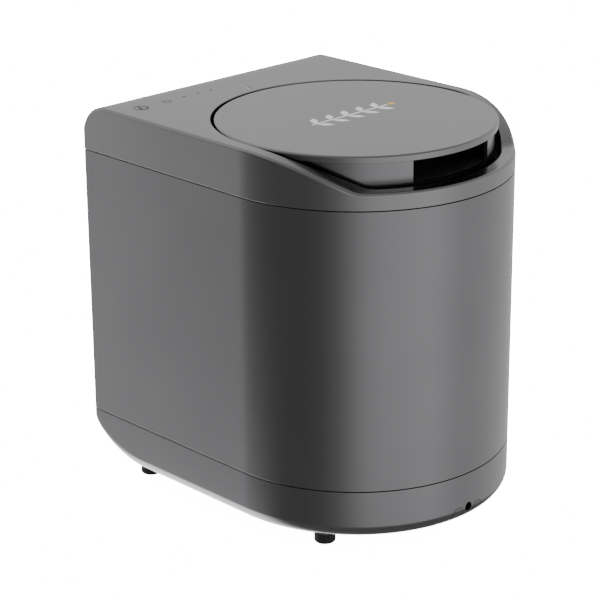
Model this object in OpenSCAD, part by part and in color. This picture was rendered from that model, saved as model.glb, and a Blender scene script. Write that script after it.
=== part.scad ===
// Countertop food waste disposer: round twist-lock lid, lift-out bucket with grinder, gear drive, filter and fan.
// Units are millimetres, +Z up. The origin is on the floor under the middle of the body; the front faces -Y.

/* [Body] */
// Width over the two flat sides, also the diameter of the round front
body_w = 240; // [180:1:320]
// Depth from the round front to the flat back
body_d = 297; // [240:1:380]
// Height from the floor to the top panel
body_h = 305; // [240:1:400]
// Height of the rubber feet
foot_h = 12; // [6:1:30]
// Wall thickness of the mouldings
wall = 3; // [2:0.1:5]
// Height of the seam between base and middle shell
seam_low = 51; // [44:0.5:80]
// Distance from the top panel down to the upper seam
seam_high_drop = 36.6; // [30:0.1:60]
// Width of the shadow gap at both seams
seam_gap = 0.6; // [0.2:0.1:2]
// Fillet round the bottom edge
edge_r = 11; // [5:0.5:16]
// Fillet along the top side edges
top_edge_r = 2.4; // [1:0.1:5]
// Radius where the top panel turns down into the back
top_back_r = 24; // [10:1:40]
// Length of the rising curve under the back
tail_len = 55; // [40:1:70]
// Height of the rising curve under the back
tail_h = 36; // [28:1:39]

/* [Lid] */
// Rim width between the side of the body and the lid well
rim_w = 11; // [9:0.5:18]
// Gap between lid disc and well
lid_gap = 2.2; // [1:0.1:5]
// Depth of the low front rim below the top panel
rim_drop = 23.5; // [16:0.5:34]
// Radius of the curve that drops to the front rim
scoop_r = 158; // [120:1:260]
// Gap between lid skirt and well
skirt_gap = 5; // [4:0.1:8]
// Height of the finger opening in the lid
grip_h = 17; // [14:0.5:22]
// Half angle of the finger opening
grip_half = 22.5; // [18:0.5:30]
// Turn between unlocked and locked
lock_turn = 13; // [10:0.5:20]
// Number of bayonet lugs
lug_count = 3; // [3:1:4]

/* [Bucket] */
// Wall thickness of the bucket
bucket_wall = 2.4; // [1.5:0.1:4]
// Space between bucket and heated pot
bucket_play = 1; // [0.5:0.1:3]
// Depth kept free behind the pot for fan, duct and filter
rear_bay = 77; // [66:1:100]
// Diameter of the bail wire
bail_d = 4.5; // [3:0.1:7]
// Width of a grinder arm
arm_w = 10; // [6:0.5:16]

/* [Drive] */
// Gear module
gear_m = 1.25; // [1:0.05:1.5]
// Teeth on the motor pinion
pinion_n = 14; // [12:1:18]
// Teeth on the large gear of the pair
pair_big_n = 42; // [36:1:48]
// Teeth on the small gear of the pair
pair_small_n = 16; // [14:1:20]
// Teeth on the output gear
output_n = 64; // [56:2:72]
// Face width of the gears
gear_w = 9; // [6:0.5:12]
// Diameter of the motor
motor_d = 60; // [44:1:70]
// Diameter of the output shaft
shaft_d = 16; // [10:0.5:20]

/* [Air] */
// Radius of the fan scroll
fan_r = 33; // [26:1:38]
// Thickness of the fan scroll
fan_t = 26; // [18:1:32]
// Width of the filter cassette
filter_w = 80; // [60:1:90]
// Height of the filter cassette
filter_h = 66; // [50:1:80]

/* [Fits] */
// Radial clearance of turning fits
run_fit = 0.05; // [0.02:0.01:0.1]
// Gap between neighbouring parts that do not touch
part_gap = 0.3; // [0.2:0.05:1]

/* [Hidden] */
$fn = 96;
eps = 0.01;
nose_r = body_w / 2;
y_back = body_d / 2;
y_nose = nose_r - body_d / 2;
seam_high = body_h - seam_high_drop;
half_seam = seam_gap / 2;

// Lid and well radii
well_r = nose_r - rim_w;
disc_r = well_r - lid_gap;
skirt_r = well_r - skirt_gap;
skirt_wall = 2.8;
rim_z = body_h - rim_drop;
collar_wall = 2.4;
collar_top = rim_z - 10.5;
ledge_t = 3;
collar_floor = collar_top - 16.5;
floor_t = 3;
disc_t = 3.5;
disc_rim = 5.2;
skirt_z0 = collar_floor + 7;
skirt_z1 = body_h - disc_rim;
grip_z0 = skirt_z1 - grip_h - 0.6;
lug_t = 4;
lug_z0 = collar_top - ledge_t - lug_t - 1;
lug_r = well_r - 1.1;
lug_half = 6;
slot_half = lug_half + 1.5;
post_r = well_r + 3.8;

// Bucket and pot
pot_wall = 2.5;
wrap_t = 6;
side_room = nose_r - 34;
rear_room = y_back - y_nose - rear_bay - wrap_t - pot_wall - bucket_play;
bucket_r = min(side_room, rear_room);
bucket_in = bucket_r - bucket_wall;
pot_in = bucket_r + bucket_play;
pot_out = pot_in + pot_wall;
wrap_in = pot_out + part_gap;
wrap_out = pot_out + wrap_t;
flange_r = bucket_r + 9.5;
flange_t = 2.6;
flange_z = collar_floor + floor_t + 0.2;
bail_z = flange_z - 9;
bail_r = bucket_in - 9.6;
wire_r = bail_d / 2;

// Levels of the drive from the bottom up
floor_z = foot_h + wall;
chassis_t = 2;
chassis_z = seam_low + 3;
case_z = chassis_z + chassis_t;
case_wall = 3;
gear_low_z = case_z + case_wall + 1.5;
gear_high_z = gear_low_z + gear_w + 1.5;
case_top = gear_high_z + gear_w + 2.5;
cover_t = 3;
pot_z = case_top + cover_t + 12;
pot_floor = 3.5;
bucket_z = pot_z + pot_floor + part_gap;
bucket_floor = 3;
plate_t = 4;
dog_h = 6;
dog_w = 5;
dog_l = shaft_d - 3;
shaft_r = shaft_d / 2;
shaft_top = bucket_z - 4;
hub_r = shaft_r + 5;
bush_r = hub_r + 4;
cone_h = 22;
stir_z0 = bucket_z + bucket_floor + 2.5;
stir_low = stir_z0 + cone_h + 1.5;
pad_h = 10;
cutter_gap = 2;
stir_top = stir_low + max(0.29 * (bail_z - stir_low), arm_w + pad_h + 8);
cutter_z0 = stir_low + arm_w + cutter_gap;
cutter_z1 = stir_top - pad_h - 1 - cutter_gap;

// Gear centres
output_pr = gear_m * output_n / 2;
pair_big_pr = gear_m * pair_big_n / 2;
pair_small_pr = gear_m * pair_small_n / 2;
pinion_pr = gear_m * pinion_n / 2;
mesh_play = 0.1;
y_pair = y_nose + output_pr + pair_small_pr + mesh_play;
y_motor = y_pair + pair_big_pr + pinion_pr + mesh_play;
tooth_out = 0.85;
tooth_in = 1.15;
idler_r = 3;
motor_r = motor_d / 2;
motor_shaft_r = 4;
motor_top = chassis_z;
motor_bot = floor_z + 3.5;

// Air path
fan_z = body_h - 62;
fan_y1 = y_back - 23;
fan_y0 = fan_y1 - fan_t;
bay_wall = 2;
bay_top = fan_z - fan_r - 4;
bay_bot = bay_top - filter_h - 16;
bay_w = filter_w + 2 * part_gap + 2 * bay_wall;
bay_y0 = y_nose + wrap_out + 8;
bay_y1 = y_back - wall - 0.5;
case_y0 = bay_y0 + bay_wall + 6;
door_w = bay_w + 7;
door_h = bay_top - bay_bot + 5;
door_z = (bay_top + bay_bot) / 2;
door_gap = 0.4;
door_out = 0.2;
duct_w = 36;
port_half = 9;

// Electronics
inlet_x = -min(75, nose_r - 40);
inlet_z = seam_low + 27;
board_x = nose_r - 17;
board_y0 = y_back - 108;
board_y1 = y_back - 18;
board_z0 = seam_low + 39;
board_z1 = board_z0 + 100;
touch_y = y_back - 44;
touch_x0 = -(nose_r - 12);
touch_x1 = -duct_w / 2 + 1;
led_pitch = 14;
led_x = -38.5;
led_y = touch_y + 2;

// Fixings
foot_r = 8.25;
foot_rear = [nose_r - 23, y_back - 41];
foot_front = [nose_r - 35.5, y_nose - 51];
foot_spots = [[-foot_rear[0], foot_rear[1]], [foot_rear[0], foot_rear[1]],
    [-foot_front[0], foot_front[1]], [foot_front[0], foot_front[1]]];
base_spots = [[-(nose_r - 20), y_back - 80], [nose_r - 20, y_back - 80],
    [-(nose_r - 58), y_nose - 81.5], [nose_r - 58, y_nose - 81.5]];
cap_spots = [[-(nose_r - 12), y_nose + 58], [nose_r - 12, y_nose + 58],
    [-(nose_r - 14), y_back - 17], [nose_r - 14, y_back - 17]];
service_z = foot_h + 11;
service_r = 3.5;
service_out = 6.75;
service_deep = 11;
boss_l = 13.6;
tab_gap = 0.4;
plate_in = 34;
leg_r = pot_in - 7;

// ---------- outline helpers ----------

// Plan outline, inset by o
module plan(o) {
    intersection() {
        translate([0, y_nose]) circle(r = nose_r - o, $fn = 180);
        translate([-nose_r, -body_d]) square([2 * nose_r, body_d + y_nose]);
    }
    translate([-(nose_r - o), y_nose]) square([2 * (nose_r - o), y_back - o - y_nose]);
}

module slab(o, z0, z1) {
    translate([0, 0, z0]) linear_extrude(height = z1 - z0) plan(o);
}

module ring_slab(o0, o1, z0, z1) {
    translate([0, 0, z0]) linear_extrude(height = z1 - z0) difference() {
        plan(o0);
        plan(o1);
    }
}

// A corner to take off: its tip at x, z, its two legs pointing back by sx and sz
module corner_cut(x, z, sx, sz, r) {
    difference() {
        translate([sx < 0 ? x - r : x - 1, sz < 0 ? z - r : z - 1]) square([r + 1, r + 1]);
        translate([x + sx * r, z + sz * r]) circle(r = r);
    }
}

// Half of the upright section, inset by o
module half_section(o) {
    w = nose_r - o;
    difference() {
        translate([0, foot_h + o]) square([w, body_h - foot_h - 2 * o]);
        corner_cut(w, foot_h + o, -1, 1, max(edge_r - o, 0.5));
        corner_cut(w, body_h - o, -1, -1, max(top_edge_r - o, 0.3));
    }
}

module full_section(o) {
    half_section(o);
    mirror([1, 0]) half_section(o);
}

// Side outline: straight front, rounded top back corner and a two-arc rise under the back
tail_a = 45;
tail_det = (1 - cos(tail_a)) * (1 - sin(tail_a)) - cos(tail_a) * sin(tail_a);
tail_r1 = (tail_len * (1 - sin(tail_a)) - tail_h * cos(tail_a)) / tail_det;
tail_r2 = (tail_h - tail_r1 * sin(tail_a)) / (1 - sin(tail_a));

module side_outline(o) {
    r1 = tail_r1 - o;
    r2 = tail_r2 - o;
    c1 = [y_back - tail_r1, foot_h + tail_h];
    c2 = [y_back - tail_len, foot_h + tail_r2];
    joint = [c1[0] + r1 * cos(tail_a), c1[1] - r1 * sin(tail_a)];
    difference() {
        union() {
            polygon([[-body_d, foot_h + o], [c2[0], foot_h + o], joint, [y_back - o, c1[1]],
                [y_back - o, body_h - o], [-body_d, body_h - o]]);
            intersection() {
                translate(c2) circle(r = r2);
                polygon([c2, [c2[0], foot_h - 5], c2 + 1.3 * (joint - c2)]);
            }
            intersection() {
                translate(c1) circle(r = r1);
                polygon([c1, c1 + 1.6 * (joint - c1), [y_back + 5, c1[1]]]);
            }
        }
        corner_cut(y_back - o, body_h - o, -1, -1, top_back_r - o);
    }
}

// The whole outside form, inset by o
module form(o) {
    intersection() {
        union() {
            translate([0, y_nose, 0]) rotate([0, 0, 180]) rotate_extrude(angle = 180) half_section(o);
            translate([0, y_back - o, 0]) rotate([90, 0, 0])
                linear_extrude(height = y_back - o - y_nose) full_section(o);
        }
        translate([-nose_r - 5, 0, 0]) rotate([90, 0, 90])
            linear_extrude(height = 2 * nose_r + 10) side_outline(o);
    }
}

// What the front scoop takes away, lowered by d
scoop_fill = 15;
scoop_zc = body_h - scoop_r;
scoop_ya = sqrt(pow(scoop_r + scoop_fill, 2) - pow(rim_z + scoop_fill - scoop_zc, 2));
scoop_yt = scoop_ya * scoop_r / (scoop_r + scoop_fill);
scoop_zt = scoop_zc + (rim_z + scoop_fill - scoop_zc) * scoop_r / (scoop_r + scoop_fill);

module scoop(d) {
    translate([-nose_r - 5, y_nose, -d]) rotate([90, 0, 90])
        linear_extrude(height = 2 * nose_r + 10) difference() {
            translate([-nose_r - 10, rim_z]) square([nose_r + 10, rim_drop + d + 10]);
            translate([0, scoop_zc]) circle(r = scoop_r, $fn = 180);
            difference() {
                polygon([[-scoop_ya, rim_z - 1], [-scoop_ya, rim_z], [-scoop_yt, scoop_zt],
                    [-scoop_yt + 6, scoop_zt], [-scoop_yt + 6, rim_z - 1]]);
                translate([-scoop_ya, rim_z + scoop_fill]) circle(r = scoop_fill);
            }
        }
}

module tube(r0, r1, z0, z1) {
    translate([0, 0, z0]) difference() {
        cylinder(r = r1, h = z1 - z0);
        translate([0, 0, -1]) cylinder(r = r0, h = z1 - z0 + 2);
    }
}

module at_nose() {
    translate([0, y_nose, 0]) children();
}

module at_spots(spots) {
    for (p = spots) translate([p[0], p[1], 0]) children();
}

// A wedge of half angle h about direction a, out to radius r
module wedge(a, h, r, z0, z1) {
    translate([0, 0, z0]) linear_extrude(height = z1 - z0)
        polygon([[0, 0], [r * cos(a - h) / cos(h), r * sin(a - h) / cos(h)],
            [r * cos(a + h) / cos(h), r * sin(a + h) / cos(h)]]);
}

module block(x0, x1, y0, y1, z0, z1) {
    translate([x0, y0, z0]) cube([x1 - x0, y1 - y0, z1 - z0]);
}

// Pan head screw, head down at z = 0, thread up
module screw(head_r, head_h, r, len) {
    difference() {
        cylinder(r = head_r, h = head_h);
        translate([0, 0, -1]) cylinder(r = head_r * 0.5, h = 1 + head_h * 0.5, $fn = 6);
    }
    translate([0, 0, head_h - eps]) cylinder(r = r, h = len + eps);
}

// ---------- outer mouldings ----------

// What the service tab takes up, grown all round; the screw boss stays out of it
module service_zone(grow) {
    difference() {
        union() {
            translate([0, -body_d / 2 + 12, 0]) rotate([90, 0, 0]) linear_extrude(height = 20)
                polygon([[-18 - grow, foot_h - 2], [-18 - grow, foot_h + 3.5],
                    [-13.5 - grow, foot_h + 12 + grow], [13.5 + grow, foot_h + 12 + grow],
                    [18 + grow, foot_h + 3.5], [18 + grow, foot_h - 2]]);
            block(-18 - grow, 18 + grow, -body_d / 2 + 11, y_nose - nose_r + plate_in + 7,
                foot_h - 2, foot_h + 6);
        }
        translate([0, -body_d / 2 - 10, service_z]) rotate([-90, 0, 0])
            cylinder(r = service_out + tab_gap - grow, h = 10 + boss_l + tab_gap - grow);
    }
}

module base_shell() {
    color([0.40, 0.40, 0.42]) difference() {
        union() {
            difference() {
                intersection() {
                    difference() {
                        form(0);
                        form(wall);
                    }
                    slab(-2, 0, seam_low - half_seam);
                }
                slab(plate_in, foot_h - 1, floor_z + 1);
            }
            ring_slab(plate_in - 4, plate_in + 4, floor_z - 0.4, floor_z + 2);
            at_spots(foot_spots) translate([0, 0, foot_h]) cylinder(r = foot_r + 1.5, h = wall + 3);
            at_spots(base_spots) translate([0, 0, floor_z - 1])
                cylinder(r = 5.5, h = seam_low - 0.5 - floor_z + 1);
            intersection() {
                form(0.5);
                translate([0, -body_d / 2, service_z]) rotate([-90, 0, 0])
                    cylinder(r = service_out, h = boss_l);
            }
        }
        service_zone(tab_gap);
        translate([0, -body_d / 2 - 1, service_z]) rotate([-90, 0, 0]) {
            cylinder(r = service_r, h = 1 + service_deep - 2.6);
            cylinder(r = 3.25, h = 1 + service_deep);
            cylinder(r = 1.7, h = 20);
        }
        at_spots(base_spots) translate([0, 0, foot_h - 1]) cylinder(r = 3.6, h = 28);
        at_spots(base_spots) translate([0, 0, foot_h]) cylinder(r = 1.8, h = seam_low);
        at_spots(foot_spots) translate([0, 0, foot_h - 1]) cylinder(r = 1.5, h = wall + 6);
    }
}

module bottom_plate() {
    color([0.20, 0.20, 0.21]) difference() {
        union() {
            slab(plate_in + 0.4, foot_h, floor_z - 0.4);
            intersection() {
                difference() {
                    form(0);
                    form(wall - 0.4);
                }
                service_zone(0);
            }
            block(-7, 7, -body_d / 2 + boss_l + tab_gap, -body_d / 2 + boss_l + 10,
                foot_h + 1, service_z + 7);
        }
        translate([0, -body_d / 2, service_z]) rotate([-90, 0, 0]) cylinder(r = 1.5, h = boss_l + 20);
        for (s = [-1, 1]) for (k = [-4:4])
            block(s * 50 - 18, s * 50 + 18, y_nose + 9 * k - 1.6, y_nose + 9 * k + 1.6,
                foot_h - 1, floor_z + 1);
    }
}

module service_screw() {
    color([0.62, 0.62, 0.64]) translate([0, -body_d / 2 + service_deep - 2.4, service_z])
        rotate([-90, 0, 0]) screw(3.1, 2.4, 1.45, 9);
}

module mid_shell() {
    color([0.42, 0.42, 0.44]) difference() {
        union() {
            ring_slab(0, wall, seam_low + half_seam, seam_high - half_seam);
            ring_slab(wall, wall + 1.6, max(seam_low - 3.5, foot_h + tail_h + 0.2), chassis_z);
            ring_slab(wall, wall + 14, seam_low - 0.5, chassis_z);
            ring_slab(wall, wall + 1.6, seam_high - 6, seam_high + 2.5);
            at_spots(base_spots) translate([0, 0, seam_low - 0.5]) cylinder(r = 5.5, h = 3.5);
            at_spots(cap_spots) translate([0, 0, seam_high - 14])
                cylinder(r = 5, h = 14 - half_seam);
            for (p = cap_spots) translate([p[0], p[1], seam_high - 14])
                block(p[0] > 0 ? 0 : -10, p[0] > 0 ? 10 : 0, -5, 5, 0, 14 - half_seam);
            for (y = [board_y0 + 8, board_y1 - 8]) for (z = [board_z0 + 8, board_z1 - 8])
                translate([board_x + 1.6, y, z]) rotate([0, 90, 0])
                    cylinder(r = 3, h = nose_r - board_x - 1.6 - 1);
            block(inlet_x - 18, inlet_x + 18, y_back - wall - 1.5, y_back - 1,
                inlet_z - 15, inlet_z + 15);
        }
        at_spots(base_spots) translate([0, 0, seam_low - 1]) cylinder(r = 1.4, h = 6);
        at_spots(cap_spots) translate([0, 0, seam_high - 15]) cylinder(r = 1.8, h = 20);
        at_spots(cap_spots) translate([0, 0, seam_high - 15]) cylinder(r = 3.4, h = 6);
        for (p = cap_spots) difference() {
            translate([p[0] > 0 ? nose_r - 0.5 : -nose_r - 12.5, p[1] - 8, seam_high - 20])
                cube([13, 16, 20]);
            slab(0, 0, body_h);
        }
        for (y = [board_y0 + 8, board_y1 - 8]) for (z = [board_z0 + 8, board_z1 - 8])
            translate([board_x, y, z]) rotate([0, 90, 0]) cylinder(r = 1.1, h = 9);
        block(-door_w / 2, door_w / 2, y_back - 20, y_back + 5,
            door_z - door_h / 2, door_z + door_h / 2);
        block(inlet_x - 13.7, inlet_x + 13.7, y_back - 20, y_back + 5, inlet_z - 10.2, inlet_z + 10.2);
        block(inlet_x - 15.9, inlet_x + 15.9, y_back - 1.8, y_back + 5, inlet_z - 12.4, inlet_z + 12.4);
    }
}

module top_cover() {
    color([0.60, 0.60, 0.61]) difference() {
        union() {
            difference() {
                intersection() {
                    form(0);
                    slab(-2, seam_high + half_seam, body_h + 1);
                }
                intersection() {
                    difference() {
                        form(wall);
                        scoop(wall);
                        at_nose() translate([0, 0, seam_high - 5]) cylinder(r = well_r + collar_wall, h = 60);
                    }
                    slab(-2, seam_high - 1, body_h + 1);
                }
            }
            at_nose() tube(well_r, well_r + collar_wall, collar_top, rim_z - 1);
            intersection() {
                form(1);
                at_nose() for (a = [35, 145, 215, 325]) rotate([0, 0, a]) translate([post_r, 0, collar_top])
                    cylinder(r = 2.5, h = rim_z - 1 - collar_top);
            }
            intersection() {
                form(1);
                at_spots(cap_spots) translate([0, 0, seam_high + half_seam]) cylinder(r = 5, h = 60);
            }
            for (x = [touch_x0 + 3.2, touch_x1 - 6]) translate([x, touch_y - 4, body_h - wall - 1.2])
                cylinder(r = 2.6, h = 2);
        }
        at_nose() translate([0, 0, seam_high - 5]) cylinder(r = well_r, h = 60);
        at_nose() translate([0, 0, seam_high - 5])
            cylinder(r = post_r + 2.5, h = collar_top - seam_high + 5);
        scoop(0);
        at_nose() for (a = [35, 145, 215, 325]) rotate([0, 0, a])
            translate([post_r, 0, collar_top - 1]) cylinder(r = 1.05, h = 6.5);
        at_spots(cap_spots) translate([0, 0, seam_high - 1]) cylinder(r = 1.5, h = 14);
        at_nose() wedge(90, port_half, well_r + 4, body_h - 21, body_h - 9);
        for (k = [-1:1]) translate([led_x + k * led_pitch, led_y, body_h - wall - 1])
            cylinder(r = 1.25, h = wall + 2);
        for (x = [touch_x0 + 3.2, touch_x1 - 6]) translate([x, touch_y - 4, body_h - wall - 2])
            cylinder(r = 1.05, h = 3.4);
    }
}

module well_collar() {
    color([0.13, 0.13, 0.14]) at_nose() difference() {
        union() {
            tube(well_r, well_r + collar_wall, collar_floor, collar_top);
            tube(flange_r - 3.5, well_r + collar_wall, collar_floor, collar_floor + floor_t);
            tube(well_r + 1, post_r + 2.4, collar_top - ledge_t, collar_top);
            difference() {
                tube(skirt_r + 1.2, well_r + 1, collar_top - ledge_t, collar_top);
                for (k = [0:lug_count - 1])
                    wedge(30 + k * 360 / lug_count, slot_half, well_r + 8, collar_top - 10, collar_top + 1);
            }
            intersection() {
                tube(well_r - 0.5, well_r + collar_wall, collar_floor, collar_top);
                union() for (k = [0:lug_count - 1])
                    wedge(30 + lock_turn + lug_half + 1.5 + k * 360 / lug_count, 0.9, well_r + 8,
                        collar_floor, collar_top - ledge_t + 1);
            }
        }
        for (a = [35, 145, 215, 325]) rotate([0, 0, a]) translate([post_r, 0, collar_top - 10])
            cylinder(r = 1.3, h = 20);
        translate([0, 0, collar_floor - 1]) cylinder(r = flange_r - 3.5, h = floor_t + 2);
    }
}

module collar_screws() {
    color([0.62, 0.62, 0.64]) at_nose() for (a = [35, 145, 215, 325]) rotate([0, 0, a])
        translate([post_r, 0, collar_top - ledge_t - 1.4]) screw(1.3, 1.4, 1.0, ledge_t + 4.5);
}

module cover_screws() {
    color([0.62, 0.62, 0.64]) at_spots(cap_spots) translate([0, 0, seam_high - 9 - 2.2])
        screw(3.1, 2.2, 1.45, 20);
}

module base_screws() {
    color([0.62, 0.62, 0.64]) at_spots(base_spots) translate([0, 0, foot_h + 27 - 2.2])
        screw(3.1, 2.2, 1.35, seam_low - foot_h - 27 + 2);
}

module foot(p) {
    color([0.07, 0.07, 0.075]) translate([p[0], p[1], 0]) difference() {
        union() {
            translate([0, 0, 1]) cylinder(r = foot_r, h = foot_h * 0.62 - 1);
            cylinder(r1 = foot_r - 0.9, r2 = foot_r, h = 1);
        }
        translate([0, 0, -1]) cylinder(r = 3.6, h = 4);
        translate([0, 0, 1]) cylinder(r = 1.55, h = foot_h);
    }
}

module foot_collars() {
    color([0.33, 0.33, 0.34]) at_spots(foot_spots) tube(1.55, foot_r - 0.6, foot_h * 0.62, foot_h);
}

module foot_screws() {
    color([0.62, 0.62, 0.64]) at_spots(foot_spots) translate([0, 0, 0.8])
        screw(3.2, 2.2, 1.45, foot_h + wall);
}

// ---------- electronics ----------

module touch_board() {
    color([0.05, 0.22, 0.12]) difference() {
        union() {
            block(touch_x0, touch_x1, touch_y - 9, touch_y + 10, body_h - wall - 2.8, body_h - wall - 1.2);
            for (k = [-1:1]) block(led_x + k * led_pitch - 1.6, led_x + k * led_pitch + 1.6,
                led_y - 0.9, led_y + 0.9, body_h - wall - 1.3, body_h - wall - 0.5);
            for (x = [-97.5, -71.7]) translate([x * (nose_r - 12) / 108, touch_y + 1, body_h - wall - 1.3])
                cylinder(r = 4.5, h = 0.9);
        }
        for (x = [touch_x0 + 3.2, touch_x1 - 6]) translate([x, touch_y - 4, body_h - wall - 4])
            cylinder(r = 1.3, h = 4);
    }
}

module light_pipes() {
    color([0.85, 0.88, 0.9, 0.8]) for (k = [-1:1])
        translate([led_x + k * led_pitch, led_y, body_h - wall - 0.5]) cylinder(r = 1.2, h = wall + 0.5);
}

module reed_switch() {
    color([0.10, 0.10, 0.10]) at_nose() rotate([0, 0, 120 + lock_turn]) difference() {
        block(well_r + 1, well_r + 6, -7, 7, body_h - 21, body_h - 15);
        translate([0, 0, body_h - 40]) cylinder(r = well_r + collar_wall, h = 40, $fn = 360);
    }
}

module ac_inlet() {
    color([0.06, 0.06, 0.065]) difference() {
        union() {
            block(inlet_x - 15.5, inlet_x + 15.5, y_back - 1.8, y_back - 0.1, inlet_z - 12, inlet_z + 12);
            block(inlet_x - 13.5, inlet_x + 13.5, y_back - 27, y_back - 1.5, inlet_z - 10, inlet_z + 10);
            for (s = [-1, 1]) block(inlet_x + s * 14.2 - 1.2, inlet_x + s * 14.2 + 1.2,
                y_back - 10, y_back - wall - 1.6, inlet_z - 4, inlet_z + 4);
        }
        translate([inlet_x, y_back + 1, inlet_z]) rotate([90, 0, 0]) linear_extrude(height = 20)
            polygon([[-12, -8.2], [-12, 4.6], [-8, 8.2], [8, 8.2], [12, 4.6], [12, -8.2]]);
        for (p = [[-7, -2.4], [0, 2.4], [7, -2.4]])
            block(inlet_x + p[0] - 1, inlet_x + p[0] + 1, y_back - 30, y_back - 5,
                inlet_z + p[1] - 2, inlet_z + p[1] + 2);
    }
}

module inlet_pins() {
    color([0.80, 0.70, 0.40]) for (p = [[-7, -2.4], [0, 2.4], [7, -2.4]])
        block(inlet_x + p[0] - 1, inlet_x + p[0] + 1, y_back - 35, y_back - 5.5,
            inlet_z + p[1] - 2, inlet_z + p[1] + 2);
}

module power_board() {
    color([0.05, 0.22, 0.12]) difference() {
        block(board_x, board_x + 1.6, board_y0, board_y1, board_z0, board_z1);
        for (y = [board_y0 + 8, board_y1 - 8]) for (z = [board_z0 + 8, board_z1 - 8])
            translate([board_x - 1, y, z]) rotate([0, 90, 0]) cylinder(r = 1.3, h = 4);
    }
}

part_depth = min(30, board_x - bay_w / 2 - 5);

module transformer() {
    color([0.75, 0.60, 0.20]) {
        block(board_x - part_depth, board_x, board_y1 - 44, board_y1 - 16, board_z0 + 20, board_z0 + 50);
    }
    color([0.30, 0.30, 0.32])
        block(board_x - part_depth + 6, board_x - 4, board_y1 - 48, board_y1 - 12,
            board_z0 + 24, board_z0 + 46);
}

module board_parts() {
    color([0.12, 0.12, 0.14]) {
        for (z = [66, 84]) translate([board_x - part_depth * 0.8, board_y1 - 30, board_z0 + z])
            rotate([0, 90, 0]) cylinder(r = 7.5, h = part_depth * 0.8);
        block(board_x - 14, board_x, board_y0 + 20, board_y0 + 36, board_z0 + 20, board_z0 + 40);
        block(board_x - 6, board_x, board_y0 + 20, board_y0 + 34, board_z0 + 60, board_z0 + 80);
        block(board_x - 3, board_x, board_y1 - 72, board_y1 - 52, board_z0 + 2, board_z0 + 12);
    }
}

module board_screws() {
    color([0.62, 0.62, 0.64]) {
        for (y = [board_y0 + 8, board_y1 - 8]) for (z = [board_z0 + 8, board_z1 - 8])
            translate([board_x - 1.6, y, z]) rotate([0, 90, 0]) screw(2.4, 1.6, 1.05, 8);
        for (x = [touch_x0 + 3.2, touch_x1 - 6])
            translate([x, touch_y - 4, body_h - wall - 2.8 - 1.6]) screw(2.4, 1.6, 1.0, 4);
    }
}

// ---------- drive ----------

// Tooth flank points by the involute, for a gear of n teeth
function inv_pt(rb, t) = [rb * (cos(t) + t * PI / 180 * sin(t)), rb * (sin(t) - t * PI / 180 * cos(t))];
function inv_at(rb, r) = r <= rb ? 0 : sqrt(pow(r / rb, 2) - 1) * 180 / PI;
function inv_ang(rb, r) = inv_at(rb, r) - atan(inv_at(rb, r) * PI / 180);
function flank(n, r) = let (rp = gear_m * n / 2, rb = rp * cos(20))
    90 / n - 0.12 / rp * 180 / PI + inv_ang(rb, rp) - inv_ang(rb, max(r, rb));
function gear_pts(n) = let (rp = gear_m * n / 2, ra = rp + tooth_out * gear_m, rr = rp - tooth_in * gear_m)
    [for (k = [0:n - 1]) for (q = [[rr, -1], [rp * 0.5 + rr * 0.5, -1], [rp, -1], [rp * 0.45 + ra * 0.55, -1],
        [ra, -1], [ra, 1], [rp * 0.45 + ra * 0.55, 1], [rp, 1], [rp * 0.5 + rr * 0.5, 1], [rr, 1]])
        let (a = 360 * k / n + q[1] * flank(n, q[0])) [q[0] * cos(a), q[0] * sin(a)]];

module gear(n, phase, z, w) {
    rotate([0, 0, phase]) translate([0, 0, z]) linear_extrude(height = w) polygon(gear_pts(n));
}

module chassis_plate() {
    color([0.70, 0.71, 0.73]) difference() {
        slab(wall + 0.3, chassis_z, chassis_z + chassis_t);
        translate([0, y_motor, chassis_z - 1]) cylinder(r = 7, h = 5);
        for (a = [0, 90, 180, 270]) translate([0, y_motor, 0]) rotate([0, 0, a + 45])
            translate([16, 0, chassis_z - 1]) cylinder(r = 1.7, h = 5);
        for (s = [-1, 1]) block(s * 75 - 12, s * 75 + 12, y_motor - 6, y_motor + 24,
            chassis_z - 1, chassis_z + 5);
    }
}

case_w = max(pair_big_pr + gear_m * 2 + case_wall + 2, 34);
case_end = y_motor + pinion_pr + 9;

module case_outline(o) {
    translate([0, y_nose]) circle(r = output_pr + gear_m + 2.5 + case_wall - o, $fn = 120);
    translate([-case_w + o, y_nose]) square([2 * (case_w - o), case_end - o - y_nose]);
}

ear_spots = [[case_w + 4, y_motor - 14], [-case_w - 4, y_motor - 14],
    [output_pr + 10.5, y_nose - 8], [-output_pr - 10.5, y_nose - 8]];

module gearbox_case() {
    color([0.16, 0.16, 0.17]) difference() {
        union() {
            translate([0, 0, case_z]) linear_extrude(height = case_top - case_z) difference() {
                case_outline(0);
                case_outline(case_wall);
            }
            translate([0, 0, case_z]) linear_extrude(height = case_wall) case_outline(0);
            at_spots(ear_spots) translate([0, 0, case_z]) cylinder(r = 5, h = case_top - case_z);
        }
        at_nose() translate([0, 0, case_z + 1]) cylinder(r = shaft_r - 2 + run_fit, h = 10);
        translate([0, y_pair, case_z + 0.5]) cylinder(r = idler_r, h = 10);
        translate([0, y_motor, case_z - 1]) cylinder(r = 7, h = 10);
        at_spots(ear_spots) translate([0, 0, case_z - 1]) cylinder(r = 1.8, h = 60);
    }
}

module gearbox_cover() {
    color([0.20, 0.20, 0.21]) difference() {
        union() {
            translate([0, 0, case_top]) linear_extrude(height = cover_t) case_outline(0);
            at_spots(ear_spots) translate([0, 0, case_top]) cylinder(r = 5, h = cover_t);
        }
        at_nose() translate([0, 0, case_top - 1]) cylinder(r = shaft_r + 4, h = 10);
        translate([0, y_pair, case_top - 1]) cylinder(r = idler_r, h = 2.5);
        at_spots(ear_spots) translate([0, 0, case_top - 1]) cylinder(r = 1.8, h = 10);
    }
}

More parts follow.
